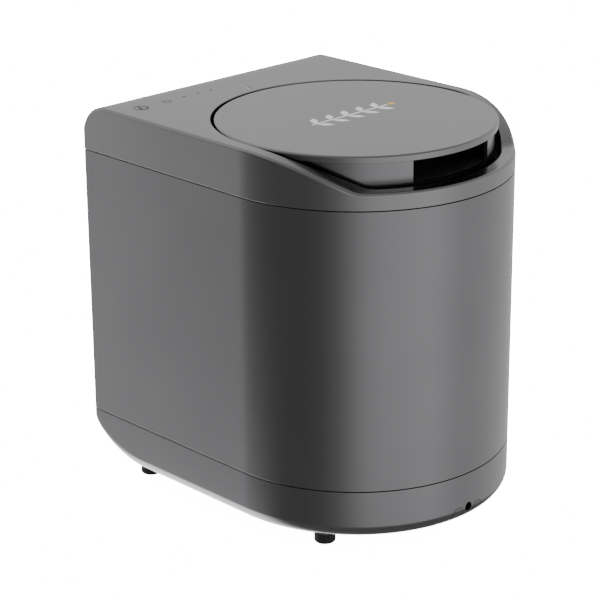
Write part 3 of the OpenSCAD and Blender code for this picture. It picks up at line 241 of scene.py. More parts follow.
# One finish for each material of the frame
looks = {
    "shell": {"tone": (0.205, 0.203, 0.208), "otherTone": (0.214, 0.212, 0.217), "wornTone": (0.24, 0.24, 0.245),
              "rough": (0.20, 0.25), "bump": 0.05, "grainSize": 2600.0, "wear": 0.03, "dust": 0.01,
              "shader": {"Metallic": 1.0, "Coat Weight": 0.06, "Coat Roughness": 0.2}},
    "panel": {"tone": (0.232, 0.232, 0.235), "otherTone": (0.24, 0.24, 0.243), "wornTone": (0.27, 0.27, 0.275),
              "rough": (0.22, 0.27), "bump": 0.05, "grainSize": 2600.0, "wear": 0.03, "dust": 0.015,
              "shader": {"Metallic": 1.0, "Coat Weight": 0.06, "Coat Roughness": 0.2}},
    "black_plastic": {"tone": (0.008, 0.008, 0.009), "otherTone": (0.012, 0.012, 0.013), "rough": (0.42, 0.58),
                      "bump": 0.25, "grainSize": 1500.0, "wear": 0.1, "dust": 0.03, "shader": plain},
    "dark_plastic": {"tone": (0.022, 0.022, 0.024), "otherTone": (0.03, 0.03, 0.032), "rough": (0.4, 0.55),
                     "bump": 0.25, "grainSize": 1300.0, "wear": 0.12, "shader": plain},
    "rubber": {"tone": (0.010, 0.010, 0.010), "otherTone": (0.016, 0.016, 0.016), "wornTone": (0.03, 0.03, 0.03),
               "rough": (0.62, 0.8), "bump": 0.35, "grainSize": 1100.0, "wear": 0.3, "shader": plain},
    "silicone": {"tone": (0.30, 0.30, 0.31), "otherTone": (0.34, 0.34, 0.35), "rough": (0.45, 0.6),
                 "bump": 0.12, "wear": 0.1,
                 "shader": {"Metallic": 0.0, "Subsurface Weight": 0.1, "Subsurface Scale": 0.002}},
    "foot_grey": {"tone": (0.085, 0.085, 0.088), "otherTone": (0.10, 0.10, 0.103), "rough": (0.4, 0.5),
                  "bump": 0.2, "wear": 0.1, "shader": plain},
    "screw_steel": {"tone": (0.50, 0.50, 0.50), "otherTone": (0.44, 0.43, 0.42), "rough": (0.24, 0.4),
                    "bump": 0.12, "stretch": (2600.0, 2600.0, 300.0), "wear": 0.2, "shader": metal},
    "steel": {"tone": (0.56, 0.56, 0.55), "otherTone": (0.50, 0.50, 0.49), "wornTone": (0.40, 0.39, 0.37),
              "rough": (0.16, 0.34), "bump": 0.12, "stretch": (1800.0, 1800.0, 90.0), "wear": 0.2, "shader": metal},
    "sheet_steel": {"tone": (0.46, 0.47, 0.47), "otherTone": (0.38, 0.39, 0.40), "rough": (0.3, 0.5),
                    "bump": 0.1, "stretch": (60.0, 1500.0, 1500.0), "wear": 0.25, "driftSize": 40.0, "shader": metal},
    "cast_alu": {"tone": (0.50, 0.50, 0.50), "otherTone": (0.42, 0.42, 0.42), "rough": (0.42, 0.62),
                 "bump": 0.5, "bumpDeep": 0.0003, "grainSize": 700.0, "wear": 0.25, "shader": metal},
    "coated_alu": {"tone": (0.052, 0.052, 0.054), "otherTone": (0.064, 0.064, 0.066), "wornTone": (0.16, 0.155, 0.15),
                   "rough": (0.3, 0.48), "bump": 0.22, "grainSize": 1500.0, "wear": 0.28, "wearSize": 130.0,
                   "shader": {"Metallic": 0.35, "Coat Weight": 0.3, "Coat Roughness": 0.3}},
    "bronze": {"tone": (0.46, 0.30, 0.14), "otherTone": (0.38, 0.25, 0.12), "rough": (0.28, 0.42),
               "bump": 0.15, "grainSize": 1400.0, "wear": 0.2, "shader": metal},
    "brass": {"tone": (0.62, 0.46, 0.20), "otherTone": (0.55, 0.40, 0.17), "rough": (0.2, 0.32),
              "bump": 0.08, "stretch": (1500.0, 80.0, 1500.0), "wear": 0.15, "shader": metal},
    "board": {"tone": (0.012, 0.075, 0.035), "otherTone": (0.016, 0.09, 0.042), "wornTone": (0.10, 0.12, 0.05),
              "rough": (0.3, 0.42), "bump": 0.2, "grainSize": 800.0, "wear": 0.25, "wearSize": 240.0,
              "shader": {"Metallic": 0.0, "Coat Weight": 0.4, "Coat Roughness": 0.2}},
    "copper": {"tone": (0.45, 0.17, 0.09), "otherTone": (0.38, 0.13, 0.07), "rough": (0.28, 0.45),
               "bump": 0.35, "stretch": (300.0, 300.0, 3000.0), "wear": 0.2, "shader": metal},
    "nylon": {"tone": (0.62, 0.60, 0.54), "otherTone": (0.56, 0.54, 0.48), "rough": (0.38, 0.5),
              "bump": 0.12, "wear": 0.12,
              "shader": {"Metallic": 0.0, "Subsurface Weight": 0.08, "Subsurface Scale": 0.002}},
    "felt": {"tone": (0.30, 0.28, 0.24), "otherTone": (0.24, 0.22, 0.19), "rough": (0.85, 0.98),
             "bump": 0.8, "bumpDeep": 0.0006, "grainSize": 1600.0, "wear": 0.2, "driftSize": 50.0,
             "shader": {"Metallic": 0.0, "Sheen Weight": 0.3, "Sheen Roughness": 0.5}},
    "light": {"tone": (0.006, 0.006, 0.007), "otherTone": (0.010, 0.010, 0.011), "rough": (0.18, 0.26),
              "bump": 0.03, "wear": 0.02, "dust": 0.0, "shader": {"Metallic": 0.0, "Specular IOR Level": 0.12}},
    "filter": {"tone": (0.030, 0.030, 0.032), "otherTone": (0.040, 0.040, 0.042), "rough": (0.45, 0.6),
               "bump": 0.3, "grainSize": 1200.0, "wear": 0.12, "shader": plain},
    "magnet": {"tone": (0.52, 0.52, 0.53), "otherTone": (0.46, 0.46, 0.47), "rough": (0.2, 0.32),
               "bump": 0.08, "wear": 0.2, "shader": metal},
    "ferrite": {"tone": (0.030, 0.029, 0.030), "otherTone": (0.045, 0.043, 0.043), "rough": (0.55, 0.75),
                "bump": 0.5, "grainSize": 900.0, "wear": 0.25, "shader": plain},
}
finishes = {slot: finish(slot + "Finish", look) for slot, look in looks.items()}

# The dark print finish is real print on the touch and power icons, and painted shadow beside the pale dashes.
markLooks = {
    "darkPrintAndShadow": {"tone": (0.020, 0.020, 0.021), "otherTone": (0.026, 0.026, 0.027), "rough": (0.4, 0.5),
                  "bump": 0.05, "wear": 0.02, "dust": 0.0, "shader": {"Metallic": 0.0, "Specular IOR Level": 0.12}},
    "paleCut": {"tone": (0.85, 0.85, 0.85), "otherTone": (0.78, 0.78, 0.78), "rough": (0.35, 0.45),
                "bump": 0.05, "wear": 0.04, "shader": plain},
    "palePrint": {"tone": (0.78, 0.78, 0.78), "otherTone": (0.72, 0.72, 0.72), "rough": (0.4, 0.5),
                  "bump": 0.04, "wear": 0.06, "shader": plain},
    "amberPrint": {"tone": (0.75, 0.42, 0.04), "otherTone": (0.70, 0.38, 0.035), "rough": (0.4, 0.5),
                   "bump": 0.04, "wear": 0.06, "shader": plain},
}
for name, look in markLooks.items():
    finishes[name] = finish(name + "Finish", look)

for name, piece in nodes.items():
    slot = piece.data.materials[0].name.split(".")[0]
    piece.data.materials[0] = finishes[slot]
print("finishes:", len(finishes))

# Making meshes


def makePiece(name, points, faces, slot, rides, finishName=None, sharp=34.0):
    mesh = bpy.data.meshes.new(name)
    mesh.from_pydata(points, [], faces)
    work = bmesh.new()
    work.from_mesh(mesh)
    bmesh.ops.recalc_face_normals(work, faces=work.faces)
    work.to_mesh(mesh)
    work.free()
    piece = bpy.data.objects.new(name, mesh)
    bpy.context.scene.collection.objects.link(piece)
    mesh.materials.append(finishes[finishName or slot])
    smooth(piece, sharp)
    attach(piece, rides)
    return piece


def smooth(piece, sharp=34.0):
    for face in piece.data.polygons:
        face.use_smooth = True
    piece.data.set_sharp_from_angle(angle=math.radians(sharp))
    if "evenNormals" not in piece.modifiers:
        even = piece.modifiers.new("evenNormals", "WEIGHTED_NORMAL")
        even.keep_sharp = True
        even.weight = 90


def carve(piece, cutters, operation="DIFFERENCE"):
    even = piece.modifiers.get("evenNormals")
    if even:
        piece.modifiers.remove(even)
    for cutter in cutters:
        step = piece.modifiers.new("carve", "BOOLEAN")
        step.object = cutter
        step.operation = operation
        step.solver = "EXACT"
    bpy.context.view_layer.update()
    carved = bpy.data.meshes.new_from_object(piece.evaluated_get(bpy.context.evaluated_depsgraph_get()))
    piece.modifiers.clear()
    carved.name = piece.data.name
    piece.data = carved
    for cutter in cutters:
        bpy.data.objects.remove(cutter)
    smooth(piece)


def makeCutter(points, faces):
    mesh = bpy.data.meshes.new("cutter")
    mesh.from_pydata(points, [], faces)
    work = bmesh.new()
    work.from_mesh(mesh)
    bmesh.ops.recalc_face_normals(work, faces=work.faces)
    work.to_mesh(mesh)
    work.free()
    cutter = bpy.data.objects.new("cutter", mesh)
    bpy.context.scene.collection.objects.link(cutter)
    return cutter


# A prism: an outline in one plane pushed along an axis ("x", "y" or "z") from low to high
def prism(outlinePoints, axis, low, high):
    count = len(outlinePoints)
    points = []
    for level in (low, high):
        for u, v in outlinePoints:
            points.append({"x": (level, u, v), "y": (u, level, v), "z": (u, v, level)}[axis])
    faces = [tuple(range(count)), tuple(range(count, 2 * count))]
    for i in range(count):
        j = (i + 1) % count
        faces.append((i, j, count + j, count + i))
    return points, faces


def circlePoints(cx, cy, radius, count):
    return [(cx + radius * math.cos(2 * math.pi * k / count), cy + radius * math.sin(2 * math.pi * k / count))
            for k in range(count)]


# Rings of equal count joined into a closed skin that also closes from the last ring to the first
def joinRings(rings):
    count = len(rings[0])
    points = [point for ring in rings for point in ring]
    faces = []
    for k in range(len(rings)):
        a = k * count
        b = (k + 1) % len(rings) * count
        for i in range(count):
            j = (i + 1) % count
            faces.append((a + i, a + j, b + j, b + i))
    return points, faces


# A closed outline of radius and height turned about the upright line through cx, cy
def turned(profile, cx, cy, count=180):
    points = []
    rings = []
    for radius, z in profile:
        if radius < 1e-7:
            rings.append([len(points)])
            points.append((cx, cy, z))
        else:
            rings.append(list(range(len(points), len(points) + count)))
            points += [(x, y, z) for x, y in circlePoints(cx, cy, radius, count)]
    faces = []
    closed = len(rings[0]) > 1
    for k in range(len(rings) if closed else len(rings) - 1):
        a = rings[k]
        b = rings[(k + 1) % len(rings)]
        for i in range(count):
            j = (i + 1) % count
            if len(a) == 1:
                faces.append((a[0], b[j], b[i]))
            elif len(b) == 1:
                faces.append((a[i], a[j], b[0]))
            else:
                faces.append((a[i], a[j], b[j], b[i]))
    return points, faces


# An outline with some corners rounded: each corner is (u, v) or (u, v, radius)
def roundCorners(corners, steps=6):
    result = []
    count = len(corners)
    for k, corner in enumerate(corners):
        here = Vector(corner[:2])
        if len(corner) < 3:
            result.append(tuple(here))
            continue
        radius = corner[2]
        before = (Vector(corners[k - 1][:2]) - here).normalized()
        after = (Vector(corners[(k + 1) % count][:2]) - here).normalized()
        half = math.acos(max(-1.0, min(1.0, before.dot(after)))) / 2
        middle = here + (before + after).normalized() * (radius / math.sin(half))
        first = here + before * (radius / math.tan(half)) - middle
        last = here + after * (radius / math.tan(half)) - middle
        turn = math.atan2(first.x * last.y - first.y * last.x, first.dot(last))
        for i in range(steps + 1):
            angle = turn * i / steps
            result.append((middle.x + first.x * math.cos(angle) - first.y * math.sin(angle),
                           middle.y + first.x * math.sin(angle) + first.y * math.cos(angle)))
    return result


# Body skins

grid = {"back": 40, "corner": 5, "side": 54, "nose": 150}


# The body's plan, set in by inset: back edge, right corner, right side, round front, left side, left corner
def planPoints(inset):
    half = body["half"] - inset
    rear = body["backY"] - inset
    nose = body["noseY"]
    corner = max(body["cornerR"] - inset, 0.00004)
    right = []
    for k in range(grid["corner"]):
        angle = math.pi / 2 * (1 - k / grid["corner"])
        right.append((half - corner + corner * math.cos(angle), rear - corner + corner * math.sin(angle)))
    for k in range(grid["side"]):
        reach = math.cos(math.pi / 2 * k / grid["side"])
        right.append((half, nose + (rear - corner - nose) * reach))
    points = [(-(half - corner) * math.cos(math.pi * k / grid["back"]), rear) for k in range(grid["back"])]
    points += right
    for k in range(grid["nose"]):
        angle = -math.pi * k / grid["nose"]
        points.append((half * math.cos(angle), nose + half * math.sin(angle)))
    points.append((-half, nose))
    points += [(-x, y) for x, y in reversed(right[1:])]
    return points


# How far a point lies inside the two flat sides and the round front
def sideDepth(x, y):
    if y > body["noseY"]:
        return max(body["half"] - abs(x), 0.0)
    return max(body["half"] - math.hypot(x, y - body["noseY"]), 0.0)


def edgeRise(depth, radius):
    if depth >= radius:
        return 0.0
    return radius - math.sqrt(max(radius * radius - (radius - depth) ** 2, 0.0))


base = {"bottomR": 0.011, "rearR": 0.002, "tailLength": 0.055, "tailHeight": 0.036, "plateInset": 0.034}
leanSin = math.sin(math.radians(45))
across = (1 - leanSin) ** 2 - leanSin ** 2
base["upperR"] = (base["tailLength"] * (1 - leanSin) - base["tailHeight"] * leanSin) / across
base["lowerR"] = (base["tailHeight"] - base["upperR"] * leanSin) / (1 - leanSin)


# Height of the underside over its flat part: a slow arc and then a tight one up into the back
def tailRise(y):
    along = y - (body["backY"] - base["tailLength"])
    if along <= 0:
        return 0.0
    if along < base["lowerR"] * leanSin:
        return base["lowerR"] - math.sqrt(base["lowerR"] ** 2 - along ** 2)
    left = along - (base["tailLength"] - base["upperR"])
    return base["tailHeight"] - math.sqrt(max(base["upperR"] ** 2 - left ** 2, 0.0))


def baseHeight(x, y, wall=0.0):
    rise = tailRise(y)
    radius = base["rearR"] + (base["bottomR"] - base["rearR"]) * (1 - rise / base["tailHeight"])
    return body["floorZ"] + rise + wall + edgeRise(max(sideDepth(x, y) - wall, 0.0), max(radius - wall, 0.0004))


def buildBase():
    wall = body["wall"]
    small = body["edgeR"]
    seam = body["seamLow"]
    insets = [base["bottomR"] * (1 - math.cos(math.radians(7.5 * k))) for k in range(13)]
    insets += [0.0135, 0.0165, 0.020, 0.024, 0.029, base["plateInset"]]
    rings = [[(x, y, seam) for x, y in planPoints(small)],
             [(x, y, seam - 0.3 * small) for x, y in planPoints(0.3 * small)],
             [(x, y, seam - small) for x, y in planPoints(0.0)]]
    rings += [[(x, y, min(baseHeight(x, y), seam - 1.5 * small)) for x, y in planPoints(inset)]
              for inset in insets]
    inner = [inset for inset in insets if inset > wall + 0.0005] + [base["plateInset"]]
    inner = [wall, wall + 0.0002, wall + 0.0006] + inner[:-1]
    rings += [[(x, y, min(baseHeight(x, y, wall), seam - 0.001)) for x, y in planPoints(inset)]
              for inset in reversed(inner)]
    rings += [[(x, y, seam) for x, y in planPoints(wall)]]
    points, faces = joinRings(rings)
    piece = makePiece("baseSkin", points, faces, "shell", "cabinet")
    return piece


baseSkin = buildBase()

service = {"z": 0.023, "boreR": 0.0035, "bossR": 0.00675, "gap": 0.0004, "topHalf": 0.0135, "lowHalf": 0.018,
           "topZ": 0.024, "bendZ": 0.0155, "bossDeep": 0.0136, "boreDeep": 0.011}


# The seam round the service tab: a trapezoid that leaves out the round screw boss
def serviceCutters():
    front = cadBox[0][1]
    gap = service["gap"]
    top = service["topZ"] + gap
    outline = [(-service["lowHalf"] - gap, 0.008), (service["lowHalf"] + gap, 0.008),
               (service["lowHalf"] + gap, service["bendZ"]), (service["topHalf"] + gap, top),
               (-service["topHalf"] - gap, top), (-service["lowHalf"] - gap, service["bendZ"])]
    tab = makeCutter(*prism(outline, "y", front - 0.01, front + 0.041))
    boss = makeCutter(*prism(circlePoints(0.0, service["z"], service["bossR"], 72), "y", front - 0.02,
                             front + 0.05))
    step = tab.modifiers.new("carve", "BOOLEAN")
    step.object = boss
    step.operation = "DIFFERENCE"
    step.solver = "EXACT"
    bpy.context.view_layer.update()
    tab.data = bpy.data.meshes.new_from_object(tab.evaluated_get(bpy.context.evaluated_depsgraph_get()))
    tab.modifiers.clear()
    bpy.data.objects.remove(boss)
    bore = makeCutter(*prism(circlePoints(0.0, service["z"], service["boreR"], 48), "y", front - 0.01,
                             front + 0.01))
    return [tab, bore]


carve(baseSkin, serviceCutters())
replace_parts(baseSkin, "base_shell")


# Tube behind the bore, from the inside of the skin to the tab's lug
def buildScrewTube():
    front = cadBox[0][1] + 0.0036
    back = cadBox[0][1] + service["bossDeep"]
    outer = service["bossR"] - 0.0001
    rings = []
    for radius, y in ((outer, front), (service["boreR"], front), (service["boreR"], back - 0.0026),
                      (0.0017, back - 0.0026), (0.0017, back), (outer, back)):
        rings.append([(x, y, z) for x, z in circlePoints(0.0, service["z"], radius, 48)])
    return makePiece("screwTube", *joinRings(rings), "shell", "cabinet")


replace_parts(buildScrewTube(), "base_shell")


def buildMiddle():
    wall = body["wall"]
    small = body["edgeR"]
    low = body["seamLow"] + body["seamGap"]
    high = body["seamHigh"] - body["seamGap"]
    tongue = wall + 0.0016
    profile = [(small, low), (0.3 * small, low + 0.3 * small), (0.0, low + small), (0.0, high - small),
               (0.3 * small, high - 0.3 * small), (small, high), (wall + 0.0001, high), (wall + 0.0001, high + 0.0025),
               (tongue, high + 0.0025), (tongue, low - 0.003), (wall + 0.0001, low - 0.003), (wall + 0.0001, low)]
    rings = [[(x, y, z) for x, y in planPoints(inset)] for inset, z in profile]
    piece = makePiece("middleSkin", *joinRings(rings), "shell", "cabinet")
    doorLow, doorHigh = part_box("filter_cassette")
    inletLow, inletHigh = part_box("ac_inlet")
    cutters = []
    for low, high, gap in ((doorLow, doorHigh, 0.0004), (inletLow, inletHigh, 0.0004)):
        window = roundCorners([(low.x - gap, low.z - gap, 0.0008), (high.x + gap, low.z - gap, 0.0008),
                               (high.x + gap, high.z + gap, 0.0008), (low.x - gap, high.z + gap, 0.0008)])
        cutters.append(makeCutter(*prism(window, "y", body["backY"] - 0.012, body["backY"] + 0.01)))
    carve(piece, cutters)
    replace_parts(piece, "mid_shell")
    return piece


buildMiddle()

cover = {"edgeR": 0.0024, "backR": 0.024, "scoopR": 0.158, "rimDrop": 0.0235, "scoopFill": 0.015,
         "wellRim": 0.0006, "wellR": discHigh.x + 0.0022, "collarWall": 0.0024}
cover["rimZ"] = body["topZ"] - cover["rimDrop"]
cover["scoopZ"] = body["topZ"] - cover["scoopR"]
fillReach = cover["rimZ"] + cover["scoopFill"] - cover["scoopZ"]
cover["fillY"] = math.sqrt((cover["scoopR"] + cover["scoopFill"]) ** 2 - fillReach ** 2)
cover["meetY"] = cover["fillY"] * cover["scoopR"] / (cover["scoopR"] + cover["scoopFill"])


# Height of the top along the body: low front rim, long arc up to the flat panel, round turn into the back
def coverHeight(x, y, wall=0.0):
    ahead = body["noseY"] - y
    if ahead > cover["fillY"]:
        z = cover["rimZ"]
    elif ahead > cover["meetY"]:
        z = cover["rimZ"] + cover["scoopFill"] - math.sqrt(cover["scoopFill"] ** 2 - (cover["fillY"] - ahead) ** 2)
    elif ahead > 0:
        z = cover["scoopZ"] + math.sqrt(cover["scoopR"] ** 2 - ahead ** 2)
    else:
        z = body["topZ"]
        into = y - (body["backY"] - cover["backR"])
        if into > 0:
            z += math.sqrt(max(cover["backR"] ** 2 - into ** 2, 0.0)) - cover["backR"]
    depth = max(sideDepth(x, y) - wall, 0.0)
    return z - body["sink"] - wall - edgeRise(depth, max(cover["edgeR"] - wall, 0.0003))


def buildCover():
    wall = body["wall"]
    small = body["edgeR"]
    seam = body["seamHigh"]
    nose = body["noseY"]
    well = cover["wellR"]
    lip = cover["wellRim"]

    def wellRing(radius):
        ring = []
        for x, y in planPoints(0.0085):
            angle = math.atan2(y - nose, x)
            ring.append((radius * math.cos(angle), nose + radius * math.sin(angle)))
        return ring

    def onTop(points, thick=0.0):
        return [(x, y, coverHeight(x, y, thick)) for x, y in points]

    insets = [cover["edgeR"] * (1 - math.cos(math.radians(15 * k))) for k in range(7)]
    insets += [0.0034, 0.0048, 0.0065, 0.0085]
    rings = [[(x, y, seam) for x, y in planPoints(small)],
             [(x, y, seam + 0.3 * small) for x, y in planPoints(0.3 * small)],
             [(x, y, seam + small) for x, y in planPoints(0.0)]]
    rings += [onTop(planPoints(inset)) for inset in insets]
    outer = planPoints(insets[-1])
    inner = wellRing(well + lip)
    steps = 12
    for k in range(1, steps + 1):
        share = (k / steps) ** 1.5
        rings.append(onTop([(a[0] + (b[0] - a[0]) * share, a[1] + (b[1] - a[1]) * share)
                            for a, b in zip(outer, inner)]))
    for k in range(1, 4):
        angle = math.radians(30 * k)
        rings.append([(x, y, coverHeight(x, y) - lip * (1 - math.cos(angle)))
                      for x, y in wellRing(well + lip * (1 - math.sin(angle)))])
    rings.append([(x, y, collarHigh.z) for x, y in wellRing(well)])
    rings.append([(x, y, collarHigh.z) for x, y in wellRing(well + cover["collarWall"])])
    inner = wellRing(well + cover["collarWall"])
    rings.append(onTop(inner, wall))
    outer = planPoints(wall + 0.0002)
    for share in (0.25, 0.5, 0.75, 0.9, 1.0):
        rings.append(onTop([(a[0] + (b[0] - a[0]) * share, a[1] + (b[1] - a[1]) * share)
                            for a, b in zip(inner, outer)], wall))
    rings.append([(x, y, seam) for x, y in planPoints(wall + 0.0002)])
    piece = makePiece("coverSkin", *joinRings(rings), "panel", "cabinet")
    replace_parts(piece, "top_cover")
    return piece


buildCover()
print("body skins are made")

# Lid

lid = {"edgeR": 0.0019, "rimDrop": 0.0052, "thick": 0.0035, "skirtWall": 0.0028}


def buildLidTop():
    top = discHigh.z - body["sink"]
    radius = discHigh.x
    skirt = skirtHigh.x
    inside = skirt - lid["skirtWall"]
    edge = roundCorners([(radius - 0.012, top), (radius, top, lid["edgeR"]),
                         (radius, discHigh.z - lid["rimDrop"], 0.0002),
                         (inside, discHigh.z - lid["rimDrop"]), (inside, discHigh.z - lid["thick"])])
    boss = [(0.011, discHigh.z - lid["thick"]), (0.011, discHigh.z - 0.014), (0.005, discHigh.z - 0.014),
            (0.005, discHigh.z - lid["thick"])]
    profile = [(0.0, top), (0.05, top), (radius - 0.03, top)] + edge + boss + [(0.0, discHigh.z - lid["thick"])]
    piece = makePiece("lidTop", *turned(profile, 0.0, body["noseY"], 240), "panel", "lid_outer")
    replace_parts(piece, "lid_disc")


buildLidTop()


# Flat strokes of one width along paths in plan, from low to high
def strokes(name, paths, width, low, high, slot, rides, finishName, closed=False):
    points = []
    faces = []
    for path in paths:
        count = len(path)
        first = len(points)
        for k, (x, y) in enumerate(path):
            before = path[k - 1] if closed or k > 0 else path[k]
            after = path[(k + 1) % count] if closed or k < count - 1 else path[k]
            along = Vector((after[0] - before[0], after[1] - before[1])).normalized()
            side = Vector((-along.y, along.x)) * (width / 2)
            for z in (low, high):
                points.append((x + side.x, y + side.y, z))
                points.append((x - side.x, y - side.y, z))
        turns = count if closed else count - 1
        for k in range(turns):
            a = first + 4 * k
            b = first + 4 * ((k + 1) % count)
            faces += [(a, b, b + 1, a + 1), (a + 2, a + 3, b + 3, b + 2), (a, a + 2, b + 2, b),
                      (a + 1, b + 1, b + 3, a + 3)]
        if not closed:
            last = first + 4 * (count - 1)
            faces += [(first, first + 1, first + 3, first + 2), (last, last + 2, last + 3, last + 1)]
    return makePiece(name, points, faces, slot, rides, finishName)


def arc(cx, cy, radius, start, finishAngle, steps=16):
    return [(cx + radius * math.cos(math.radians(start + (finishAngle - start) * k / steps)),
             cy + radius * math.sin(math.radians(start + (finishAngle - start) * k / steps)))
            for k in range(steps + 1)]


marks = {"touch": (-0.0975, 0.1045), "power": (-0.0717, 0.1045), "line": 0.0007, "deep": 0.0004,
         "lockDash": (-0.0267, 0.0879), "homeDash": (0.0, 0.0903), "lidDash": (0.0, 0.0685),
         "dashLength": 0.0060, "dashWidth": 0.0018}
markLow = body["topZ"] - marks["deep"]


def buildMarks():
    tx, ty = marks["touch"]
    finger = [(tx - 0.0008, ty - 0.0005), (tx - 0.0008, ty + 0.0036), (tx, ty + 0.0045),
              (tx + 0.0008, ty + 0.0036),
              (tx + 0.0008, ty + 0.0012), (tx + 0.0036, ty + 0.0006), (tx + 0.0040, ty - 0.0020),
              (tx + 0.0028, ty - 0.0046), (tx - 0.0014, ty - 0.0046), (tx - 0.0040, ty - 0.0014),
              (tx - 0.0030, ty - 0.0008), (tx - 0.0008, ty - 0.0022)]
    strokes("touchMark", [finger], marks["line"], markLow, body["topZ"], "light", "cabinet", "darkPrintAndShadow",
            closed=True)
    strokes("touchRing", [arc(tx, ty, 0.0058, 0, 360)], marks["line"], markLow, body["topZ"], "light", "cabinet",
            "darkPrintAndShadow")
    px, py = marks["power"]
    strokes("powerMark", [arc(px, py, 0.0034, 120, 420), [(px, py + 0.0009), (px, py + 0.0044)]],
            marks["line"],
            markLow, body["topZ"], "light", "cabinet", "darkPrintAndShadow")
    half = marks["dashLength"] / 2
    for name, key, rides in (("lockDash", "lockDash", "cabinet"), ("homeDash", "homeDash", "cabinet"),
                             ("lidDash", "lidDash", "lid_outer")):
        x, y = marks[key]
        out = Vector((x, y - body["noseY"])).normalized()
        # Each pale dash gets a painted shadow: a dark print stroke set 0.6 mm to one side, standing in for the shade
        # the dash casts.
        shadowShift = Vector((out.y, -out.x)) * 0.0006
        pale = [(x - out.x * half, y - out.y * half), (x + out.x * half, y + out.y * half)]
        shade = [(px + shadowShift.x, py + shadowShift.y) for px, py in pale]
        strokes(name, [pale], marks["dashWidth"] * 0.7, markLow, body["topZ"], "light", rides, "paleCut")
        strokes(name + "Shade", [shade], marks["dashWidth"] * 0.6, markLow, body["topZ"], "light", rides,
                "darkPrintAndShadow")


buildMarks()

emblem = {"centre": (0.0, -0.0225), "half": 0.040, "pairs": 5, "leafLong": 0.0135, "leafHalf": 0.0030,
          "stemHalf": 0.0010, "tilt": 52.0, "seedR": 0.0030}


# Flat plaques with convex outlines in plan, from low to high
def plaques(name, outlines, low, high, slot, rides, finishName):
    points = []
    faces = []
    for outline in outlines:
        first = len(points)
        more, sides = prism(outline, "z", low, high)
        points += more
        faces += [tuple(first + i for i in face) for face in sides]
    return makePiece(name, points, faces, slot, rides, finishName)


# A plain emblem: a stem with pairs of leaves, and a seed at its end
def buildEmblem():
    cx, cy = emblem["centre"]
    half = emblem["half"]
    stem = emblem["stemHalf"]
    outlines = [[(cx - half, cy - stem), (cx + half, cy - stem), (cx + half, cy + stem),
                 (cx - half, cy + stem)]]
    pitch = 2 * half / emblem["pairs"]
    for k in range(emblem["pairs"]):
        for turn in (1, -1):
            foot = Vector((cx - half + pitch * (k + 0.25), cy + turn * stem))
            angle = turn * math.radians(emblem["tilt"])
            along = Vector((math.cos(angle), math.sin(angle)))
            aside = Vector((-along.y, along.x))
            outline = []
            for side, steps in ((-1, range(0, 12)), (1, range(12, 0, -1))):
                for step in steps:
                    bulge = side * emblem["leafHalf"] * math.sin(math.pi * step / 12)
                    outline.append(tuple(foot + along * emblem["leafLong"] * step / 12 + aside * bulge))
            outlines.append(outline)
    plaques("emblemLeaves", outlines, markLow, body["topZ"], "panel", "lid_outer", "palePrint")
    plaques("emblemSeed", [circlePoints(cx + half + 0.0045, cy, emblem["seedR"], 40)], markLow, body["topZ"],
            "panel", "lid_outer", "amberPrint")


buildEmblem()
print("lid and marks are made")

# Floor, light and camera

studio = {"floorHalf": 9.0, "floorTone": 0.82, "floorGlow": 14.0, "floorLift": 9.0,
          "sun": 2.2, "sunAngle": 60.0}


def buildFloor():
    half = studio["floorHalf"]
    mesh = bpy.data.meshes.new("studioFloor")
    mesh.from_pydata([(-half, -half, 0), (half, -half, 0), (half, half, 0), (-half, half, 0)], [], [(0, 1, 2, 3)])
    floor = bpy.data.objects.new("studioFloor", mesh)
    bpy.context.scene.collection.objects.link(floor)
    material = bpy.data.materials.new("floorFinish")
    material.use_nodes = True
    tree = material.node_tree
    tree.nodes.clear()
    output = add(tree, "ShaderNodeOutputMaterial")
    seen = add(tree, "ShaderNodeLightPath")
    chosen = add(tree, "ShaderNodeMixShader")
    matte = add(tree, "ShaderNodeBsdfDiffuse", {"Color": (studio["floorTone"],) * 3 + (1.0,)})
    bright = add(tree, "ShaderNodeBsdfDiffuse", {"Color": (studio["floorLift"],) * 3 + (1.0,)})
    glow = add(tree, "ShaderNodeEmission", {"Strength": studio["floorGlow"]})
    both = add(tree, "ShaderNodeAddShader")
    tree.links.new(bright.outputs[0], both.inputs[0])
    tree.links.new(glow.outputs[0], both.inputs[1])
    tree.links.new(seen.outputs["Is Camera Ray"], chosen.inputs[0])
    tree.links.new(matte.outputs[0], chosen.inputs[1])
    tree.links.new(both.outputs[0], chosen.inputs[2])
    tree.links.new(chosen.outputs[0], output.inputs["Surface"])
    mesh.materials.append(material)
    floor.visible_glossy = False       # the paint mirrors the studio walls below, not the empty floor


buildFloor()

# Brightness of the studio walls round the object: degrees from the left side over the front, and strength
wallTones = [(-180, 0.84), (-165, 0.78), (-150, 0.86), (-120, 0.88), (-80, 1.05), (-60, 1.28), (-52, 1.0),
             (-48, 0.50), (-42, 0.33), (-34, 0.24), (-22, 0.18), (-10, 0.18), (5, 0.175), (12, 0.19), (21, 0.215),
             (34, 0.38), (43, 0.62), (51, 0.83), (60, 0.96), (78, 1.05), (97, 1.15), (106, 1.11), (117, 0.96),
             (128, 0.84), (140, 0.84), (154, 0.86), (171, 0.88), (180, 0.84)]
studioTones = {"wallPeak": 1.3, "upperFront": 0.45, "upperBack": 0.8, "lowerFront": 0.25, "lowerBack": 4.0}


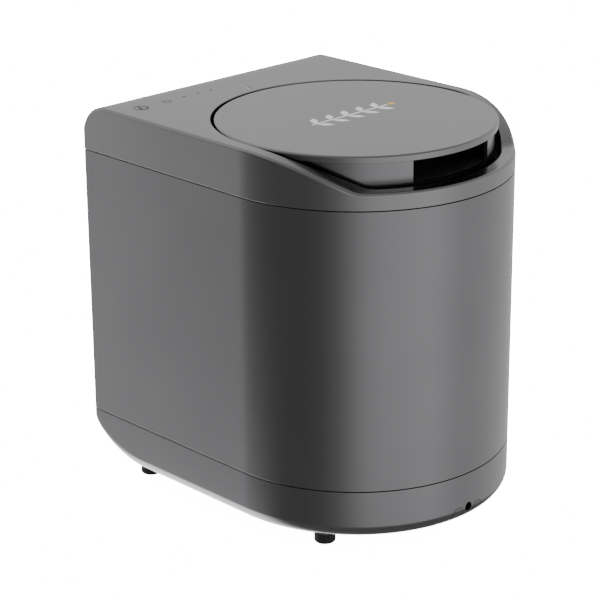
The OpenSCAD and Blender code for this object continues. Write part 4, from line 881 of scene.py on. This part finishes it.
def buildWorld():
    world = bpy.data.worlds.new("studio")
    bpy.context.scene.world = world
    world.use_nodes = True
    tree = world.node_tree
    tree.nodes.clear()
    output = add(tree, "ShaderNodeOutputWorld")
    place = add(tree, "ShaderNodeTexCoord")
    split = add(tree, "ShaderNodeSeparateXYZ")
    tree.links.new(place.outputs["Generated"], split.inputs[0])
    backX = add(tree, "ShaderNodeMath", operation="MULTIPLY")
    backY = add(tree, "ShaderNodeMath", operation="MULTIPLY")
    backX.inputs[1].default_value = -1.0
    backY.inputs[1].default_value = -1.0
    tree.links.new(split.outputs["X"], backX.inputs[0])
    tree.links.new(split.outputs["Y"], backY.inputs[0])
    around = add(tree, "ShaderNodeMath", operation="ARCTAN2")
    tree.links.new(backY.outputs[0], around.inputs[0])
    tree.links.new(backX.outputs[0], around.inputs[1])
    share = add(tree, "ShaderNodeMapRange", {"From Min": -math.pi, "From Max": math.pi})
    tree.links.new(around.outputs[0], share.inputs["Value"])
    ramp = add(tree, "ShaderNodeValToRGB")
    ramp.color_ramp.interpolation = "LINEAR"
    stops = ramp.color_ramp.elements
    while len(stops) > 1:
        stops.remove(stops[0])
    for k, (angle, tone) in enumerate(wallTones):
        position = (angle + 180) / 360
        stop = stops[0] if k == 0 else stops.new(position)
        stop.position = position
        stop.color = (tone / studioTones["wallPeak"],) * 3 + (1.0,)
    tree.links.new(share.outputs["Result"], ramp.inputs["Fac"])
    low = add(tree, "ShaderNodeMapRange", {"From Min": -0.45, "From Max": -0.6},
              interpolation_type="SMOOTHSTEP")
    high = add(tree, "ShaderNodeMapRange", {"From Min": 0.42, "From Max": 0.62},
              interpolation_type="SMOOTHSTEP")
    lowTone = add(tree, "ShaderNodeMapRange",
                  {"From Min": 0.2, "From Max": 0.6, "To Min": studioTones["lowerFront"],
                   "To Max": studioTones["lowerBack"]}, interpolation_type="SMOOTHSTEP")
    highTone = add(tree, "ShaderNodeMapRange",
                   {"From Min": 0.0, "From Max": 0.6, "To Min": studioTones["upperFront"],
                    "To Max": studioTones["upperBack"]}, interpolation_type="SMOOTHSTEP")
    tree.links.new(split.outputs["Y"], lowTone.inputs["Value"])
    tree.links.new(split.outputs["Y"], highTone.inputs["Value"])
    tree.links.new(split.outputs["Z"], low.inputs["Value"])
    tree.links.new(split.outputs["Z"], high.inputs["Value"])
    walls = add(tree, "ShaderNodeMath", operation="MULTIPLY")
    walls.inputs[1].default_value = studioTones["wallPeak"]
    lower = add(tree, "ShaderNodeMix", data_type="FLOAT")
    upper = add(tree, "ShaderNodeMix", data_type="FLOAT")
    tree.links.new(ramp.outputs["Color"], walls.inputs[0])
    tree.links.new(walls.outputs[0], lower.inputs["A"])
    tree.links.new(lowTone.outputs["Result"], lower.inputs["B"])
    tree.links.new(low.outputs["Result"], lower.inputs["Factor"])
    tree.links.new(lower.outputs["Result"], upper.inputs["A"])
    tree.links.new(highTone.outputs["Result"], upper.inputs["B"])
    tree.links.new(high.outputs["Result"], upper.inputs["Factor"])
    shade = add(tree, "ShaderNodeBackground")
    shade.inputs["Color"].default_value = (1.0, 0.995, 1.01, 1.0)
    tree.links.new(upper.outputs["Result"], shade.inputs["Strength"])
    white = add(tree, "ShaderNodeBackground", {"Strength": 14.0})
    white.inputs["Color"].default_value = (1.0, 1.0, 1.0, 1.0)
    seen = add(tree, "ShaderNodeLightPath")
    chosen = add(tree, "ShaderNodeMixShader")
    tree.links.new(seen.outputs["Is Camera Ray"], chosen.inputs[0])
    tree.links.new(shade.outputs[0], chosen.inputs[1])
    tree.links.new(white.outputs[0], chosen.inputs[2])
    tree.links.new(chosen.outputs[0], output.inputs["Surface"])


buildWorld()


def buildLights():
    sun = bpy.data.lights.new("softSky", "SUN")
    sun.energy = studio["sun"]
    sun.angle = math.radians(studio["sunAngle"])
    lamp = bpy.data.objects.new("softSky", sun)
    lamp.rotation_euler = Vector((0.25, -0.30, 1.0)).to_track_quat("Z", "Y").to_euler()
    lamp.visible_glossy = False        # it lights the floor and the matt parts, the paint mirrors the walls
    bpy.context.scene.collection.objects.link(lamp)


buildLights()

cameraSettings = {"place": (-1.1162, -1.1222, 0.7375), "forward": (0.6515, 0.6744, -0.3476),
                  "roll": -0.424, "lens": 129.4}


def buildCamera():
    camera = bpy.data.cameras.new("viewCamera")
    camera.lens = cameraSettings["lens"]
    camera.sensor_width = 36.0
    camera.clip_start = 0.05
    camera.clip_end = 40.0
    holder = bpy.data.objects.new("viewCamera", camera)
    holder.location = cameraSettings["place"]
    holder.rotation_mode = "QUATERNION"
    look = Vector(cameraSettings["forward"]).to_track_quat("-Z", "Y")
    holder.rotation_quaternion = look @ Quaternion((0, 0, 1), math.radians(cameraSettings["roll"]))
    bpy.context.scene.collection.objects.link(holder)
    bpy.context.scene.camera = holder


buildCamera()
print("studio is set")
